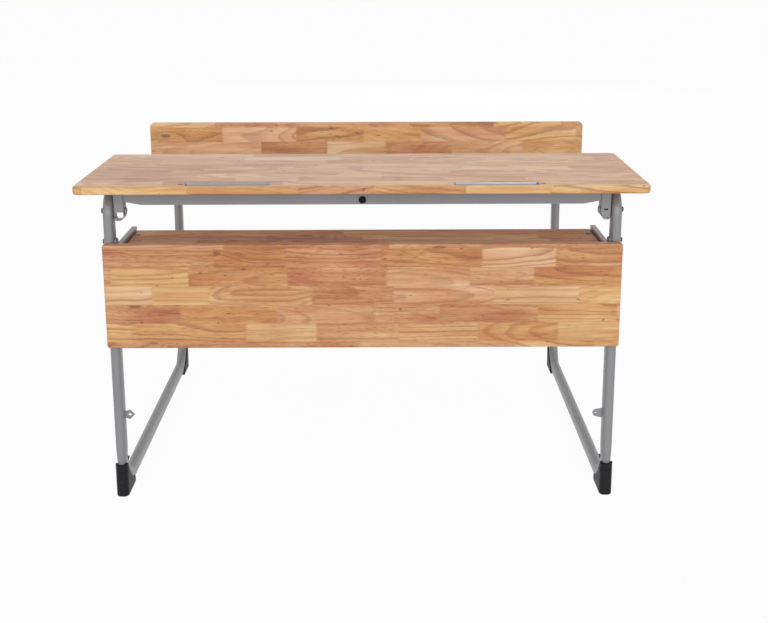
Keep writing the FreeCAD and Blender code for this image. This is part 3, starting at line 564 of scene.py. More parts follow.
def rounded_block(name, low, high, axis, corner, steps):
    """Block whose edges along one axis are rounded."""
    piece = block(name, low, high)
    round_edges(piece, lambda edge: runs_along(edge, axis), corner, steps)
    return piece


# Boards
BOARD_EASE = 4 * MM
TOP_CORNER, SEAT_CORNER = 14 * MM, 24 * MM
PANEL_CORNER, SHELF_CORNER, BACKREST_CORNER = 6 * MM, 4 * MM, 12 * MM
TRAY_RIM, TRAY_SHEET, TRAY_CORNER, TRAY_FIT = 4 * MM, 1.2 * MM, 7 * MM, 0.2 * MM
TRAY_ROLL = 1.0 * MM
TRAY_STEPS = 7
TRAY_END_SWEEP, TRAY_SIDE_SWEEP = 16 * MM, 9 * MM
NOTCH_RADIUS, NOTCH_DEPTH, NOTCH_REACH = 6.5 * MM, 5 * MM, 5 * MM


def board(name, node, corner):
    """A stave board with rounded corners and eased edges."""
    low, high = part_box(node)
    size = high - low
    thin_axis = "XYZ"[min(range(3), key=lambda axis: size[axis])]
    piece = rounded_block(name, low, high, thin_axis, corner, 8)
    round_edges(piece, is_sharp, BOARD_EASE, 4)
    return piece


def desktop():
    """Writing top with a rebate and a pocket for each pen tray, and a finger notch beside it."""
    piece = board("desktop_board", "desktop", TOP_CORNER)
    above = Vector((0, 0, PASS))
    for side, sign in SIDES:
        low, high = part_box(f"{side}_pen_tray")
        rim = Vector((TRAY_FIT, TRAY_FIT, 0))
        rebate_low = Vector((low.x, low.y, high.z - TRAY_SHEET))
        rebate = rounded_block("rebate", rebate_low - rim, high + rim + above, "Z", TRAY_CORNER, 6)
        inset = Vector((TRAY_RIM - TRAY_FIT, TRAY_RIM - TRAY_FIT, 0))
        drop = Vector((0, 0, TRAY_FIT))
        pocket = rounded_block("pocket", low + inset - drop, high - inset + above, "Z",
                               TRAY_CORNER - TRAY_RIM + TRAY_FIT, 6)
        end_x = high.x + NOTCH_REACH if sign > 0 else low.x - NOTCH_REACH
        notch_base = Vector((end_x, (low.y + high.y) / 2, high.z - NOTCH_DEPTH))
        notch = cylinder("notch", notch_base, notch_base + Vector((0, 0, NOTCH_DEPTH + PASS)), NOTCH_RADIUS)
        cut(piece, rebate, pocket, notch)
    present(piece, "desktop", FLAT_BOARD)


def pen_tray(side):
    """Pressed dish: a flat rim, a rolled edge and a trough that curves up to it."""
    node = f"{side}_pen_tray"
    low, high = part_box(node)
    size = high - low
    centre = centre_of(node)
    centre.z = high.z
    piece = start(f"{side}_tray_dish", bpy.ops.mesh.primitive_plane_add, size=1, location=centre)
    edit(piece)
    bpy.ops.mesh.select_all(action="SELECT")
    bpy.ops.transform.resize(value=(size.x, size.y, 1), center_override=centre)
    bpy.ops.mesh.bevel(offset=TRAY_CORNER, segments=6, affect="VERTICES")
    choose(piece, "FACE", lambda face: True)
    bpy.ops.mesh.inset(thickness=TRAY_RIM)
    rim_x, rim_y = size.x / 2 - TRAY_RIM, size.y / 2 - TRAY_RIM
    sunk, reach_x, reach_y = 0.0, rim_x, rim_y
    for step in range(1, TRAY_STEPS + 1):
        turn = math.pi / 2 * step / TRAY_STEPS
        drop = (high.z - low.z - TRAY_SHEET) * math.sin(turn) - sunk
        bpy.ops.mesh.extrude_region_move(TRANSFORM_OT_translate={"value": (0, 0, -drop)})
        next_x = rim_x - TRAY_END_SWEEP * (1 - math.cos(turn))
        next_y = rim_y - TRAY_SIDE_SWEEP * (1 - math.cos(turn))
        bpy.ops.transform.resize(value=(next_x / reach_x, next_y / reach_y, 1), center_override=centre)
        sunk, reach_x, reach_y = sunk + drop, next_x, next_y
    choose(piece, "EDGE", lambda edge: not edge.is_boundary and is_sharp(edge)
           and middle(edge).z > high.z - HAIR)
    bpy.ops.mesh.bevel(offset=TRAY_ROLL, segments=4, affect="EDGES")
    leave()
    apply_modifier(piece, "SOLIDIFY", thickness=TRAY_SHEET, offset=-1)
    present(piece, node, TRAY_METAL)


def ahead(heading):
    """The way that a heading points in the frame's plane."""
    return Vector((0, math.cos(heading), math.sin(heading)))


def oval_ring(name, centre, heading):
    """An oval outline square to a heading in the frame's plane, its long way in that plane."""
    rotation = Euler((math.pi / 2 + heading, 0, 0))
    piece = start(name, bpy.ops.mesh.primitive_circle_add, vertices=TUBE_SIDES, radius=TUBE_WIDTH / 2,
                  fill_type="NOTHING", location=centre, rotation=rotation)
    across = ahead(heading + math.pi / 2)
    stretch = across * (TUBE_DEPTH - TUBE_WIDTH) / 2
    edit(piece)
    for sign in (-1, 1):
        choose(piece, "VERT", lambda point: (point.co - Vector(centre)).dot(across) * sign > HAIR)
        bpy.ops.transform.translate(value=stretch * sign)
    bpy.ops.mesh.select_all(action="SELECT")
    return piece


def flatten_bend(piece, centre, radius, start_angle, turn):
    """Draws the tube in towards its centre line through a bend, most in its middle."""
    def draw(spot):
        arm = Vector((0, spot.y - centre.y, spot.z - centre.z))
        swing = (math.atan2(arm.z, arm.y) - start_angle) % (2 * math.pi)
        if arm.length < radius + TUBE_DEPTH and swing < turn:
            share = math.sin(math.pi * swing / turn) ** 2
            reach = radius + (arm.length - radius) * (1 - BEND_FLATTENING * share)
            spot += arm * (reach / arm.length - 1)

    reshape(piece, draw)


def cap_ends(piece):
    """In edit mode, closes every open end."""
    choose(piece, "EDGE", lambda edge: edge.is_boundary)
    bpy.ops.mesh.edge_face_add()


def bent_tube(name, begin, heading, path):
    """Oval tube drawn along straight runs and bends; a path step is its run, its turn and its radius."""
    spot = Vector(begin)
    piece = oval_ring(name, begin, heading)
    for run, turn, radius in path:
        shift = ahead(heading) * run
        bpy.ops.mesh.extrude_region_move(TRANSFORM_OT_translate={"value": shift})
        spot = spot + shift
        if turn:
            inward = ahead(heading + math.pi / 2)
            centre = spot + inward * radius
            steps = max(3, round(BEND_STEPS * turn / (math.pi / 2)))
            bpy.ops.mesh.spin(steps=steps, angle=turn, center=centre, axis=(-1, 0, 0))
            if turn > UPRIGHT_LEAN * 2:
                flatten_bend(piece, centre, radius, math.atan2(-inward.z, -inward.y), turn)
            heading += turn
            spot = centre - ahead(heading + math.pi / 2) * radius
    cap_ends(piece)
    leave()
    clean_up(piece)
    return piece


WELD_RADIUS = 1.7 * MM
WELD_PITCH = 2.2 * MM


def weld(begin, end):
    """A weld seam: overlapping drops laid along a line."""
    begin, end = Vector(begin), Vector(end)
    drops = max(2, round((end - begin).length / WELD_PITCH))
    drop = start("weld", bpy.ops.mesh.primitive_ico_sphere_add, subdivisions=2, radius=WELD_RADIUS,
                 location=begin)
    return repeat(drop, [(end - begin) * step / drops for step in range(1, drops + 1)])


def upright_seams(xs, ys, low_z, high_z):
    """Weld seams from one height to another at each of these places."""
    return [weld((x, y, low_z), (x, y, high_z)) for x in xs for y in ys]


def draw_in(piece, centre_x):
    """Narrows the front leg just above its shoe, as the bender's jaws leave it."""
    def narrow(spot):
        down = clamp((WAIST_TOP - spot.z) / (WAIST_TOP - WAIST_FULL))
        fade = clamp((LEG_Y + TUBE_DEPTH / 2 + WAIST_FADE - spot.y) / WAIST_FADE)
        spot.x += (centre_x - spot.x) * WAIST * down * fade

    edit(piece)
    reshape(piece, narrow)
    leave()


def side_frame(side, sign):
    """The whole side frame: arm, front leg, floor runner and rear upright in one bent tube."""
    arm_z = centre_of("right_arm_plug").z
    arm_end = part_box("right_arm_plug")[1].y - PLUG_CAP
    rear_turn = math.pi / 2 - UPRIGHT_LEAN
    rear_reach = FOOT_BEND * math.tan(rear_turn / 2)
    lean_reach = BACK_BEND * math.tan(UPRIGHT_LEAN / 2)
    slope = (UPRIGHT_BEND_HEIGHT - RUNNER_Z) / math.cos(UPRIGHT_LEAN)
    waist_run = WAIST_TOP - RUNNER_Z - FOOT_BEND
    path = [
        (arm_end - LEG_Y - ARM_BEND, math.pi / 2, ARM_BEND),
        (arm_z - RUNNER_Z - ARM_BEND - FOOT_BEND - waist_run, 0, 0),
        (waist_run, math.pi / 2, FOOT_BEND),
        (REAR_CORNER_Y - LEG_Y - FOOT_BEND - rear_reach, rear_turn, FOOT_BEND),
        (slope - rear_reach - lean_reach, UPRIGHT_LEAN, BACK_BEND),
        (leg_high.z - UPRIGHT_BEND_HEIGHT - lean_reach, 0, 0),
    ]
    piece = bent_tube(f"{side}_frame_tube", (sign * TUBE_X, arm_end, arm_z), math.pi, path)
    draw_in(piece, sign * TUBE_X)
    present(piece, f"{side}_side_frame", GREY_PAINT)


def upright_y(height):
    """The rear upright's centre line at a height below its bend."""
    return REAR_CORNER_Y + (height - RUNNER_Z) * math.tan(UPRIGHT_LEAN)


def oval_plug(name, seat, heading):
    """Cap on a tube's open end: the tube's own outline with a softly rounded face."""
    seat = Vector(seat)
    outward = ahead(heading)
    piece = bent_tube(name, seat, heading, [(PLUG_CAP, 0, 0)])
    return ease_end(piece, seat + outward * PLUG_CAP, outward, PLUG_ROUND, 4)


def tube_plugs():
    """Plugs of the arms' rear ends, the uprights' tops and the seat arms' front ends."""
    for side, sign in SIDES:
        low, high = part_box(f"{side}_arm_plug")
        seat = (sign * TUBE_X, high.y - PLUG_CAP, (low.z + high.z) / 2)
        present(oval_plug(f"{side}_arm_cap", seat, 0.0), f"{side}_arm_plug", BLACK_PLASTIC)
        low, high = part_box(f"{side}_upright_plug")
        seat = (sign * TUBE_X, (low.y + high.y) / 2, high.z - PLUG_CAP)
        present(oval_plug(f"{side}_upright_cap", seat, math.pi / 2), f"{side}_upright_plug", BLACK_PLASTIC)
    low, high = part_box("seat_arm_plugs")
    seat = (TUBE_X, low.y + PLUG_CAP, (low.z + high.z) / 2)
    present(both_sides(oval_plug("seat_arm_caps", seat, math.pi)), "seat_arm_plugs", BLACK_PLASTIC)


# Shoes
SHOE_LENGTH, SHOE_HEIGHT = 80 * MM, 78 * MM
SHOE_RIM, SHOE_HEEL, SHOE_SAG, SHOE_ROUND = 14 * MM, 16 * MM, 13 * MM, 11 * MM
SHOE_COLUMNS = 10
SHOE_DIP = 5 * MM               # the rim's middle below its side tips
SHOE_SOLE_EDGE, SHOE_LIP, SHOE_WALL = 3 * MM, 1.0 * MM, 2.5 * MM
GROOVE_LOW, GROOVE_HIGH, GROOVE_DEPTH = 61 * MM, 63 * MM, 0.7 * MM
# Dark pad in the front boot's bend: painted shade for the crotch of the bend
PAD_WIDTH, PAD_INNER, PAD_OUTER = 24 * MM, 54.5 * MM, 63 * MM
PAD_BEGIN, PAD_TURN = math.radians(14), math.radians(52)
PAD_TAPER = 0.7                 # share of the pad's width lost towards the boot's rim


def rim_height(distance):
    """The rim's height so far in from the toe: level, then a hollow slope down to the heel."""
    share = max(0.0, distance - SHOE_RIM) / (SHOE_LENGTH - SHOE_RIM)
    return SHOE_HEIGHT + (SHOE_HEEL - SHOE_HEIGHT) * share - 4 * SHOE_SAG * share * (1 - share)


def crotch_shade_pad(centre_x, toe, inward):
    """Black tongue of the boot inside the bend, with a wide tip against the leg: painted shade, a dark piece
    where the crotch of the bend lies in shade.
    """
    bend_y = toe + inward * (SHOE_WALL + TUBE_DEPTH / 2 + FOOT_BEND)
    centre = Vector((centre_x, bend_y, RUNNER_Z + FOOT_BEND))
    seat = centre - Vector((0, inward * (PAD_INNER + PAD_OUTER) / 2, 0))
    piece = start("pad", bpy.ops.mesh.primitive_plane_add, size=1, location=seat)
    edit(piece)
    bpy.ops.mesh.select_all(action="SELECT")
    bpy.ops.transform.resize(value=(PAD_WIDTH, PAD_OUTER - PAD_INNER, 1), center_override=seat)
    bpy.ops.mesh.delete(type="ONLY_FACE")
    leave()
    swing = Matrix.Rotation(inward * PAD_BEGIN, 4, "X")
    piece.data.transform(Matrix.Translation(centre) @ swing @ Matrix.Translation(-centre))
    edit(piece)
    bpy.ops.mesh.select_all(action="SELECT")
    bpy.ops.mesh.spin(steps=BEND_STEPS, angle=PAD_TURN, center=centre, axis=(-inward, 0, 0))
    cap_ends(piece)

    def taper(spot):
        angle = math.atan2(centre.z - spot.z, abs(centre.y - spot.y))
        spot.x += (centre_x - spot.x) * clamp((angle - PAD_BEGIN) / PAD_TURN * 2) * PAD_TAPER

    reshape(piece, taper)
    leave()
    clean_up(piece)
    round_edges(piece, is_sharp, SHOE_LIP, 2)
    return piece


def rim_groove(piece, toe):
    """A fine groove round the toe, below the rim."""
    edit(piece)
    for height in (GROOVE_LOW, GROOVE_HIGH):
        choose(piece, "FACE", lambda face: abs(face.normal.z) < 0.1
               and abs(face.calc_center_median().y - toe) < SHOE_RIM)
        bpy.ops.mesh.bisect(plane_co=(0, 0, height), plane_no=(0, 0, 1))
    choose(piece, "FACE", lambda face: abs(face.normal.z) < 0.1
           and GROOVE_LOW < face.calc_center_median().z < GROOVE_HIGH)
    bpy.ops.mesh.extrude_region_shrink_fatten(TRANSFORM_OT_shrink_fatten={"value": -GROOVE_DEPTH})
    leave()


def shoe(side, place):
    """Corner boot: round toe, a rim that sweeps down in a hollow curve, and a soft sole edge."""
    node = f"{side}_{place}_shoe"
    low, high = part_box(node)
    rear = place == "rear"
    toe = low.y + SHOE_LENGTH if rear else low.y
    inward = -1 if rear else 1
    ends = sorted((toe, toe + inward * SHOE_LENGTH))
    piece = block(f"{side}_{place}_boot", (low.x, ends[0], 0), (high.x, ends[1], SHOE_HEIGHT))
    round_edges(piece, lambda edge: runs_along(edge, "Z") and abs(middle(edge).y - toe) < HAIR, SHOE_ROUND, 6)
    edit(piece)
    for column in range(SHOE_COLUMNS):
        reach = SHOE_RIM + (SHOE_LENGTH - SHOE_RIM) * column / SHOE_COLUMNS
        slice_at((0, toe + inward * reach, 0), (0, 1, 0))
    centre_x, half_width = (low.x + high.x) / 2, (high.x - low.x) / 2

    def sweep_rim(spot):
        if spot.z > SHOE_HEIGHT / 2:
            distance = abs(spot.y - toe)
            spread = abs(spot.x - centre_x) / half_width
            dip = SHOE_DIP * (1 - spread ** 2) * max(0.0, 1 - distance / SHOE_RIM)
            spot.z = rim_height(distance) - dip

    reshape(piece, sweep_rim)
    leave()
    round_edges(piece, lambda edge: is_sharp(edge) and middle(edge).z < HAIR, SHOE_SOLE_EDGE, 3)
    round_edges(piece, lambda edge: is_sharp(edge) and middle(edge).z > SHOE_SOLE_EDGE * 2
                and not runs_along(edge, "Z"), SHOE_LIP, 2)
    rim_groove(piece, toe)
    if rear:
        lean = math.tan(UPRIGHT_LEAN)
        piece.data.transform(Matrix(((1, 0, 0, 0), (0, 1, lean, 0), (0, 0, 1, 0), (0, 0, 0, 1))))
    else:
        # Painted shade: a black pad fills the shaded crotch of the front leg's bend
        piece = join([piece, crotch_shade_pad(centre_x, toe, inward)])
    present(piece, node, BLACK_PLASTIC)


# Folded steel of the lifting top
BRACKET_SHOULDER, BRACKET_POINT, BRACKET_SLIT = 10 * MM, 11 * MM, 2.6 * MM
BRACKET_LEAN = 0.75             # how far across the foot sits, from the inner side
SLOT_WIDTH, SLOT_HEIGHT, SLOT_RISE = 9 * MM, 3.5 * MM, 4 * MM
WINDOW_HEIGHT, WINDOW_DROP = 12 * MM, 1.5 * MM
CHANNEL_TAPER, CHANNEL_RISE = 38 * MM, 7 * MM
BUMPER_HEIGHT, BUMPER_ROUND, BUMPER_DIMPLE = 6 * MM, 3 * MM, 0.72 * MM
BUMPER_RIM = 0.25               # share of the button's radius
REST_WIDTH, REST_LENGTH, REST_EASE = 16 * MM, 24 * MM, 1.6 * MM


def fold_sheet(piece, is_open):
    """In edit mode, turns a block into bent sheet: takes its open faces away and rounds the folds."""
    choose(piece, "FACE", is_open)
    bpy.ops.mesh.delete(type="FACE")
    choose(piece, "EDGE", lambda edge: not edge.is_boundary and edge.calc_face_angle(0.0) > FOLD_ANGLE)
    bpy.ops.mesh.bevel(offset=FOLD, segments=4, affect="EDGES")
    leave()
    apply_modifier(piece, "SOLIDIFY", thickness=SHEET, offset=-1, use_even_offset=True)


def hinge_bracket(side, sign):
    """Folded hanger: top plate, front plate and sides that turn in to two feet, open behind."""
    low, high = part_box("right_hinge_bracket")
    centre_x = (low.x + high.x) / 2
    piece = block(f"{side}_bracket_fold", low, high)
    edit(piece)
    shoulder = BRACKET_SHOULDER if sign > 0 else WINDOW_DROP + WINDOW_HEIGHT
    slice_at((0, 0, HINGE_Z - shoulder), (0, 0, 1))
    choose(piece, "VERT", lambda point: point.co.z < low.z + HAIR)
    narrowing = BRACKET_POINT / (high.x - low.x)
    foot_x = low.x + (high.x - low.x) * BRACKET_LEAN
    bpy.ops.transform.resize(value=(narrowing, 1, 1), center_override=(foot_x, 0, 0))
    fold_sheet(piece, lambda face: face.normal.y > 0.9)
    width, height, top = high.x - low.x - 2 * (SHEET + HAIR), WINDOW_HEIGHT, HINGE_Z - WINDOW_DROP
    if sign > 0:
        width, height, top = SLOT_WIDTH, SLOT_HEIGHT, HINGE_Z + SLOT_RISE
    opening = block("opening", (centre_x - width / 2, low.y - PASS, top - height),
                    (centre_x + width / 2, high.y + PASS, top))
    slit_x = foot_x + (centre_x - foot_x) * narrowing
    slit = block("slit", (slit_x - BRACKET_SLIT / 2, low.y - PASS, low.z - PASS),
                 (slit_x + BRACKET_SLIT / 2, high.y + PASS, low.z + SHEET + FOLD))
    cut(piece, opening, slit)
    present(for_side(piece, sign), f"{side}_hinge_bracket", GREY_PAINT)


def lid_channel():
    """Folded channel under the top, open below, with its flanges cut away towards the ends."""
    low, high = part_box("lid_channel")
    piece = block("channel_fold", low, high)
    edit(piece)
    for end in (low.x + CHANNEL_TAPER, high.x - CHANNEL_TAPER):
        slice_at((end, 0, 0), (1, 0, 0))
    choose(piece, "VERT", lambda point: point.co.z < low.z + HAIR and abs(point.co.x) > high.x - HAIR)
    bpy.ops.transform.translate(value=(0, 0, CHANNEL_RISE))
    fold_sheet(piece, lambda face: face.normal.z < -0.9 or abs(face.normal.x) > 0.9)
    present(piece, "lid_channel", GREY_PAINT)


def lid_bumper():
    """Rubber button on the channel's front: a collar and a domed, dimpled face."""
    low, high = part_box("lid_bumper")
    radius = (high.x - low.x) / 2
    height = (low.z + high.z) / 2
    seat = low.y + BUMPER_HEIGHT
    piece = disc("bumper_button", (0, seat, height), (0, low.y, height), radius, BUMPER_ROUND, 5, 40)
    edit(piece)
    choose(piece, "FACE", lambda face: face.normal.y < -0.99)
    bpy.ops.mesh.inset(thickness=radius * BUMPER_RIM)
    bpy.ops.transform.translate(value=(0, BUMPER_DIMPLE, 0))
    leave()
    present(piece, "lid_bumper", BLACK_RUBBER)


def lid_rest_pads():
    """Rubber rests saddled on the arms, eased all round."""
    low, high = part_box("lid_rest_pads")
    front = eased_block("rest_pads", (TUBE_X - REST_WIDTH / 2, low.y, low.z),
                        (TUBE_X + REST_WIDTH / 2, low.y + REST_LENGTH, high.z), REST_EASE, 3)
    pads = repeat(front, [(0, high.y - low.y - REST_LENGTH, 0)])
    present(both_sides(pads), "lid_rest_pads", BLACK_RUBBER)


# Fasteners
CROSS_WIDTH, CROSS_DEPTH = 1.1 * MM, 1.2 * MM
CUP_RADIUS, CUP_HEIGHT, CUP_ROUND = 6.3 * MM, 1.0 * MM, 0.9 * MM
FLAT_RADIUS, FLAT_RISE, FLAT_EASE = 4.05 * MM, 1.1 * MM, 0.3 * MM
SCREW_RADIUS, SCREW_HEAD, SCREW_ROUND = 4.5 * MM, 2.5 * MM, 1.5 * MM
PIN_HEAD, BOLT_HEAD, NUT_HEIGHT, LOW_NUT, RAIL_NUT = 4 * MM, 4 * MM, 6.5 * MM, 3 * MM, 2.4 * MM
PIN_RADIUS, BOLT_RADIUS, BOLT_HEAD_RADIUS = 4 * MM, 3 * MM, 6 * MM
WASHER, WASHER_EASE = 0.6 * MM, 0.15 * MM
HEX = 6                         # sides of a hexagon
FLANGE, CROWN_FOOT, STEM_TOP = 0.3, 0.2, 0.1    # heights on a bolt's head, as shares of the whole
FLANGE_EASE, CROWN_EASE, NUT_EASE = 0.14, 0.16, 0.12    # shares of the head's or nut's height
CROWN_WIDTH = 0.92              # share of the flange's radius
STEM_EASE = 0.2                 # share of the shank's radius
CROSS_REACH = 0.56              # share of the screw's radius
SCREW_PLACES = (0.25, 0.75)     # shares of the bracket's room and of the half channel


def hex_bolt(name, seat, outward, radius, head, shank_radius, shank):
    """Flanged hexagon head on a seat, with a plain shank behind it."""
    seat, outward = Vector(seat), Vector(outward)
    rise = outward * head
    flange = disc(name, seat, seat + rise * FLANGE, radius, head * FLANGE_EASE)
    crown = disc("crown", seat + rise * CROWN_FOOT, seat + rise, radius * CROWN_WIDTH, head * CROWN_EASE,
                 sides=HEX)
    stem = disc("stem", seat + rise * STEM_TOP, seat - outward * shank, shank_radius,
                shank_radius * STEM_EASE)
    return join([flange, crown, stem])


def hex_nut(name, begin, outward, corner_radius, height):
    """Hexagon nut with chamfered corners."""
    begin, outward = Vector(begin), Vector(outward)
    return disc(name, begin, begin + outward * height, corner_radius, height * NUT_EASE, sides=HEX)


def cross_recess(piece, seat, facing, radius):
    """Cuts a cross for the driver into a head that faces up or down."""
    ends = sorted((seat.z - facing * CROSS_DEPTH, seat.z + facing * PASS))
    long_reach, short_reach = radius * CROSS_REACH, CROSS_WIDTH / 2
    for reach_x, reach_y in ((long_reach, short_reach), (short_reach, long_reach)):
        cut(piece, block("recess", (seat.x - reach_x, seat.y - reach_y, ends[0]),
                         (seat.x + reach_x, seat.y + reach_y, ends[1])))


def pan_screw(name, seat):
    """Domed head hanging under a sheet, with a cross recess."""
    seat = Vector(seat)
    face = seat - Vector((0, 0, SCREW_HEAD))
    piece = disc(name, seat, face, SCREW_RADIUS, SCREW_ROUND, 4)
    cross_recess(piece, face, -1, SCREW_RADIUS)
    return piece


def cup_screw(name, seat):
    """Flat head in a pressed cup washer on the wood."""
    seat = Vector(seat)
    rise = Vector((0, 0, CUP_HEIGHT))
    cup = disc("cup", seat - rise, seat + rise, CUP_RADIUS, CUP_ROUND, 3)
    face = seat + Vector((0, 0, FLAT_RISE))
    head = disc(name, seat - rise, face, FLAT_RADIUS, FLAT_EASE)
    cross_recess(head, face, 1, SCREW_RADIUS)
    return join([head, cup])


def hinge_fasteners():
    """Pivot bolts through the legs, with their washers and nuts."""
    low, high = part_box("right_hinge_pin")
    radius = (high.z - low.z) / 2
    for side, sign in SIDES:
        pin = hex_bolt(f"{side}_pivot_bolt", (OUTER_X, HINGE_Y, HINGE_Z), (1, 0, 0), radius, PIN_HEAD,
                       PIN_RADIUS, OUTER_X - low.x - NUT_HEIGHT + LOW_NUT)
        present(for_side(pin, sign), f"{side}_hinge_pin", PLATED)
    nut_low, nut_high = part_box("hinge_nuts")
    nut = hex_nut("pivot_nuts", (low.x + NUT_HEIGHT, HINGE_Y, HINGE_Z), (-1, 0, 0),
                  (nut_high.z - nut_low.z) / 2, LOW_NUT)
    present(both_sides(nut), "hinge_nuts", GREY_PAINT)
    low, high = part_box("hinge_washers")
    washer = disc("pivot_washers", (INNER_X, HINGE_Y, HINGE_Z), (INNER_X - WASHER, HINGE_Y, HINGE_Z),
                  (high.z - low.z) / 2, WASHER_EASE)
    present(both_sides(washer), "hinge_washers", PLATED)


def saddled_bolts(board_name):
    """Bolts behind the tubes that hold an upright board."""
    low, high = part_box(f"{board_name}_bolts")
    seat = high.y - BOLT_HEAD
    lower, upper = low.z + BOLT_HEAD_RADIUS, high.z - BOLT_HEAD_RADIUS
    bolt = hex_bolt(f"{board_name}_hex_bolts", (TUBE_X, seat, lower), (0, 1, 0), BOLT_HEAD_RADIUS, BOLT_HEAD,
                    BOLT_RADIUS, seat - low.y)
    present(both_sides(repeat(bolt, [(0, 0, upper - lower)])), f"{board_name}_bolts", PLATED)


def lid_screws():
    """Pan heads under the brackets' top plates and the channel's web."""
    low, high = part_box("right_hinge_bracket")
    centre_x, channel_y = (low.x + high.x) / 2, centre_of("lid_channel").y
    room = high.y - low.y - SHEET
    seat_z = high.z - SHEET
    places = [Vector((centre_x, low.y + SHEET + room * share, seat_z)) for share in SCREW_PLACES]
    places += [Vector((low.x * share, channel_y, seat_z)) for share in SCREW_PLACES]
    screws = repeat(pan_screw("lid_pan_screws", places[0]), [place - places[0] for place in places[1:]])
    present(both_sides(screws), "lid_screws", PLATED)


# Book shelf rails
RAIL_WIDTH, RAIL_EDGE, RAIL_CAP = 12 * MM, 1.6 * MM, 2.5 * MM
TAB_LENGTH, TAB_REACH, TAB_SHEET, TAB_SEAM = 24 * MM, 22 * MM, 3 * MM, 9.6 * MM
EAR_SHEET, EAR_LENGTH, EAR_TOP = 3 * MM, 22 * MM, 13 * MM
PLATE_CORNER, PLATE_EASE, CAP_EASE = 5 * MM, 0.5 * MM, 1.1 * MM
SCREW_SETBACKS = (37 * MM, 135 * MM)
SCREW_INSET = 11 * MM


def plate(name, low, high, is_corner):
    """Steel plate with some corners rounded and every edge eased."""
    piece = block(name, low, high)
    round_edges(piece, is_corner, PLATE_CORNER, 5)
    round_edges(piece, is_sharp, PLATE_EASE, 2)
    return piece


def shelf_rail(side, sign):
    """Box rail on the leg's inner face, with tabs under the shelf and an ear for its bolt."""
    low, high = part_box("right_shelf_rail")
    rail_top = high.z - EAR_TOP
    rail_x = INNER_X - RAIL_WIDTH
    bar = eased_block(f"{side}_rail_bar", (rail_x, low.y, low.z), (INNER_X, high.y, rail_top), RAIL_EDGE, 3)
    ear = plate("ear", (INNER_X - EAR_SHEET, LEG_Y - EAR_LENGTH / 2, rail_top - RAIL_EDGE),
                (INNER_X, LEG_Y + EAR_LENGTH / 2, high.z),
                lambda edge: runs_along(edge, "X") and middle(edge).z > rail_top)
    pieces = [bar, ear]
    for setback in SCREW_SETBACKS:
        centre_y = low.y + setback
        tab = plate("tab", (rail_x - TAB_REACH, centre_y - TAB_LENGTH / 2, low.z),
                    (rail_x + RAIL_EDGE, centre_y + TAB_LENGTH / 2, low.z + TAB_SHEET),
                    lambda edge: runs_along(edge, "Z") and middle(edge).x < rail_x)
        seam = weld((rail_x, centre_y - TAB_SEAM, low.z), (rail_x, centre_y + TAB_SEAM, low.z))
        pieces += [tab, seam]
    present(for_side(join(pieces), sign), f"{side}_shelf_rail", GREY_PAINT)


def shelf_fasteners():
    """Caps, bolts and screws of the shelf rails."""
    low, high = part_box("right_shelf_rail")
    rail_top = high.z - EAR_TOP
    cap = eased_block("rail_end_caps", (INNER_X - RAIL_WIDTH, high.y, low.z),
                      (INNER_X, high.y + RAIL_CAP, rail_top), CAP_EASE, 3)
    present(both_sides(cap), "shelf_rail_caps", BLACK_PLASTIC)

    bolt_z = centre_of("shelf_rail_bolts").z
    inner_end = INNER_X - EAR_SHEET
    bolt = hex_bolt("rail_hex_bolts", (OUTER_X, LEG_Y, bolt_z), (1, 0, 0), BOLT_HEAD_RADIUS, BOLT_HEAD,
                    BOLT_RADIUS, OUTER_X - inner_end + RAIL_NUT)
    nut = hex_nut("rail_nuts", (inner_end, LEG_Y, bolt_z), (-1, 0, 0), BOLT_HEAD_RADIUS, RAIL_NUT)
    present(both_sides(bolt), "shelf_rail_bolts", PLATED)
    present(both_sides(nut), "shelf_rail_bolts", GREY_PAINT)

    shelf_low, shelf_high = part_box("book_shelf")
    first = Vector((shelf_high.x - SCREW_INSET, shelf_low.y + SCREW_SETBACKS[0], shelf_high.z))
    screws = repeat(cup_screw("shelf_cup_screws", first), [(0, SCREW_SETBACKS[1] - SCREW_SETBACKS[0], 0)])
    present(both_sides(screws), "shelf_screws", PLATED)


# Eye lugs
LUG_EASE = 1.2 * MM
LUG_SEAM = 0.3                  # share of the lug's height, up and down from its eye
DIAMOND_NECK, DIAMOND_HOLE = 0.6, 3.8 * MM
DROP_TIP, DROP_ROUND, DROP_HOLE = 7 * MM, 6.65 * MM, 2.4 * MM


def diamond_plate(name, low, high, eye):
    """Four-sided plate on its corner, with a neck to the leg."""
    radius = (high.z - low.z) / 2
    piece = cylinder(name, (eye.x, low.y, eye.z), (eye.x, high.y, eye.z), radius, 4)
    edit(piece)
    choose(piece, "FACE", lambda face: face.normal.x > 0.6 and abs(face.normal.y) < 0.5)
    bpy.ops.mesh.extrude_region_move(TRANSFORM_OT_translate={"value": (radius, 0, 0)})
    bpy.ops.transform.resize(value=(0, 1, DIAMOND_NECK), center_override=(INNER_X + HAIR, LEG_Y, eye.z))
    leave()
    return piece


def drop_plate(name, low, high, eye):
    """Plate that is wide at the leg and tapers to a round tip."""
    piece = block(name, low, (INNER_X + HAIR, high.y, high.z))
    edit(piece)
    choose(piece, "VERT", lambda point: point.co.x < low.x + HAIR)
    bpy.ops.transform.resize(value=(1, 1, DROP_TIP / (high.z - eye.z)), center_override=eye)
    leave()
    round_edges(piece, lambda edge: runs_along(edge, "Y") and middle(edge).x < low.x + HAIR,
                DROP_ROUND, 8)
    return piece


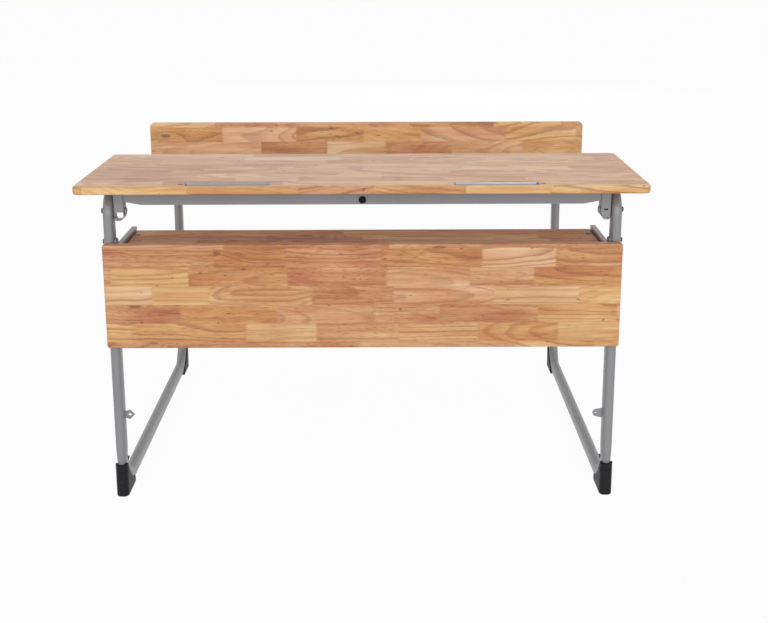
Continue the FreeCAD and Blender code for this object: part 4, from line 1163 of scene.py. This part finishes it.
def eye_lug(side, sign):
    """Eye on the front leg's inner face, welded along both sides: a diamond left, a drop right."""
    low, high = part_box("right_eye_lug")
    eye = Vector((low.x + (high.z - low.z) / 2, LEG_Y, (low.z + high.z) / 2))
    if sign < 0:
        piece = diamond_plate(f"{side}_lug_eye", low, high, eye)
        hole_radius = DIAMOND_HOLE
    else:
        eye.x = low.x + DROP_TIP
        piece = drop_plate(f"{side}_lug_eye", low, high, eye)
        hole_radius = DROP_HOLE
    round_edges(piece, lambda edge: is_sharp(edge) and middle(edge).x < INNER_X - HAIR, LUG_EASE, 3)
    cut(piece, cylinder("hole", (eye.x, low.y - PASS, eye.z), (eye.x, high.y + PASS, eye.z), hole_radius))
    reach = (high.z - low.z) * LUG_SEAM
    seams = upright_seams([INNER_X], (low.y, high.y), eye.z - reach, eye.z + reach)
    present(for_side(join([piece] + seams), sign), f"{side}_eye_lug", GREY_PAINT)


# Seat carriers
BRACE_RADIUS = 9 * MM
BRACE_FOOT_HEIGHT, BRACE_HEAD_INSET = 190 * MM, 130 * MM
SIDE_SEAM_BACK, SIDE_SEAM_REACH = 9.66 * MM, 12.96 * MM
LEVEL_SEAM_BACK, LEVEL_SEAM_REACH = 16.56 * MM, 6.9 * MM
SEAT_RAIL_EDGE = 2.2 * MM
SEAT_SCREW_SPACING = 400 * MM


def seat_arm(side, sign):
    """Oval tube from the upright to the seat's front, welded at the upright."""
    low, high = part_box("right_seat_arm")
    centre_z = (low.z + high.z) / 2
    joint_y = upright_y(centre_z)
    tube = bent_tube(f"{side}_seat_tube", (TUBE_X, low.y, centre_z), 0.0, [(joint_y - low.y, 0, 0)])
    seams = upright_seams((INNER_X, OUTER_X), [joint_y - SIDE_SEAM_BACK],
                          centre_z - SIDE_SEAM_REACH, centre_z + SIDE_SEAM_REACH)
    begin_x, end_x, seam_y = TUBE_X - LEVEL_SEAM_REACH, TUBE_X + LEVEL_SEAM_REACH, joint_y - LEVEL_SEAM_BACK
    seams += [weld((begin_x, seam_y, z), (end_x, seam_y, z)) for z in (low.z, high.z)]
    present(for_side(join([tube] + seams), sign), f"{side}_seat_arm", GREY_PAINT)


def seat_brace(side, sign):
    """Round strut from the upright up to the seat arm."""
    foot = Vector((TUBE_X, upright_y(BRACE_FOOT_HEIGHT), BRACE_FOOT_HEIGHT))
    head_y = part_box("bench_seat")[0].y + BRACE_HEAD_INSET
    head = Vector((TUBE_X, head_y, centre_of("right_seat_arm").z))
    piece = cylinder(f"{side}_brace_tube", foot, head, BRACE_RADIUS, 24)
    present(for_side(piece, sign), f"{side}_seat_brace", GREY_PAINT)


def seat_rails():
    """Box rails between the seat arms, and the screws up through them."""
    for place in ("front", "rear"):
        low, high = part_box(f"{place}_seat_rail")
        rail = rounded_block(f"{place}_rail_bar", low, high, "X", SEAT_RAIL_EDGE, 4)
        seams = upright_seams((low.x, high.x), (low.y, high.y),
                              low.z + SEAT_RAIL_EDGE, high.z - SEAT_RAIL_EDGE)
        present(join([rail] + seams), f"{place}_seat_rail", GREY_PAINT)
    low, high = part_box("front_seat_rail")
    first = Vector((0, (low.y + high.y) / 2, low.z))
    rear_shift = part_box("rear_seat_rail")[0].y - low.y
    shifts = [(x, y, 0) for y in (0, rear_shift) for x in (-SEAT_SCREW_SPACING, 0, SEAT_SCREW_SPACING)
              if x or y]
    present(repeat(pan_screw("seat_pan_screws", first), shifts), "seat_screws", PLATED)


def saddle_washers(board_name):
    """Washers hollowed to the tube: a merged copy of the frame's own shape, smoothed."""
    node = f"{board_name}_saddle_washers"
    piece = bpy.data.objects.new(f"{board_name}_saddles", frame["nodes"][node].data.copy())
    bpy.context.collection.objects.link(piece)
    clean_up(piece, turn_outwards=False)
    present(piece, node, PLATED)


# Stage, light and camera
FLOOR_SIZE = 200.0
FLOOR_DROP = 0.3 * MM
FLOOR_GLOW = 0.96
FLOOR_GREY, WHITE = (0.6, 0.6, 0.6, 1.0), (1.0, 1.0, 1.0, 1.0)
SKY_WHITE = 0.985               # the floor's own white, so that no horizon shows
AMBIENT = 0.48


def white_to_camera(look, output, glow_kind, strength, weight):
    """White where the camera or a reflection looks, with the plain surface mixed in."""
    path = look.node("ShaderNodeLightPath", output="Is Camera Ray")
    seen = path.math("MAXIMUM", path.out("Is Glossy Ray")).math("MAXIMUM", path.out("Is Transmission Ray"))
    glow = look.node(glow_kind, inputs={"Color": WHITE, "Strength": strength})
    plain = Flow(look, look.shader.outputs[0])
    mixed = look.node("ShaderNodeMixShader", inputs={0: seen * weight, 1: plain, 2: glow})
    look.feed(look.tree.nodes[output].inputs["Surface"], mixed)


def stage():
    """A pale floor and a plain white room."""
    floor = start("studio_floor", bpy.ops.mesh.primitive_plane_add, size=FLOOR_SIZE,
                  location=(0, 0, -FLOOR_DROP))
    paper = Finish("studio_paper")
    floor.data.materials.append(paper.dress(Base_Color=FLOOR_GREY, Roughness=0.9, Specular_IOR_Level=0.0))
    white_to_camera(paper, "Material Output", "ShaderNodeEmission", 1.0, FLOOR_GLOW)

    room = Finish("studio_white", bpy.data.worlds, "Background")
    bpy.context.scene.world = room.dress(Color=WHITE, Strength=AMBIENT)
    white_to_camera(room, "World Output", "ShaderNodeBackground", SKY_WHITE, 1.0)


def soft_light(name, place, aim, size, power, mirrored):
    """A softbox, wide by high, that may also be mirrored in glossy surfaces."""
    bpy.ops.object.select_all(action="DESELECT")
    bpy.ops.object.light_add(type="AREA", location=place)
    lamp = bpy.context.object
    lamp.name = name
    lamp.rotation_euler = (Vector(aim) - Vector(place)).to_track_quat("-Z", "Y").to_euler()
    lamp.data.shape = "RECTANGLE"
    lamp.data.size, lamp.data.size_y = size
    lamp.data.energy = power
    lamp.visible_camera = False
    lamp.visible_glossy = mirrored


def camera():
    bpy.ops.object.select_all(action="DESELECT")
    bpy.ops.object.camera_add(location=CAMERA_PLACE)
    eye = bpy.context.object
    turn = Euler((math.pi / 2 - CAMERA_PITCH, 0, CAMERA_YAW)).to_matrix()
    eye.rotation_euler = (turn @ Matrix.Rotation(CAMERA_ROLL, 3, "Z")).to_euler()
    eye.data.sensor_width = CAMERA_SENSOR
    eye.data.lens = CAMERA_LENS
    eye.data.shift_y = CAMERA_SHIFT
    bpy.context.scene.camera = eye


camera()
stage()
soft_light("key_softbox", (4.2, -12.2, 4.2), (0, -0.3, 0.45), (6.6, 6.6), 596, True)
soft_light("fill_softbox", (-6.2, -11.6, 3.8), (0, -0.3, 0.45), (6.6, 6.6), 396, True)
soft_light("rear_softbox", (0.8, 7.4, 2.6), (0, 0.3, 0.45), (4.0, 4.0), 150, False)
soft_light("top_softbox", (0.5, -1.2, 3.2), (0, -0.3, 0.4), (0.5, 0.5), 5, True)
bpy.context.scene.view_settings.view_transform = "Standard"

desktop()
for board_name, node, corner, finish in (
        ("panel_board", "modesty_panel", PANEL_CORNER, PANEL_BOARD),
        ("shelf_board", "book_shelf", SHELF_CORNER, SHELF_BOARD),
        ("seat_board", "bench_seat", SEAT_CORNER, FLAT_BOARD),
        ("backrest_board", "backrest_panel", BACKREST_CORNER, BACK_BOARD)):
    present(board(board_name, node, corner), node, finish)
for side, sign in SIDES:
    side_frame(side, sign)
    for place in ("front", "rear"):
        shoe(side, place)
    pen_tray(side)
    hinge_bracket(side, sign)
    shelf_rail(side, sign)
    eye_lug(side, sign)
    seat_arm(side, sign)
    seat_brace(side, sign)
tube_plugs()
lid_channel()
lid_bumper()
lid_rest_pads()
lid_screws()
hinge_fasteners()
shelf_fasteners()
seat_rails()
for board_name in ("panel", "backrest"):
    saddled_bolts(board_name)
    saddle_washers(board_name)
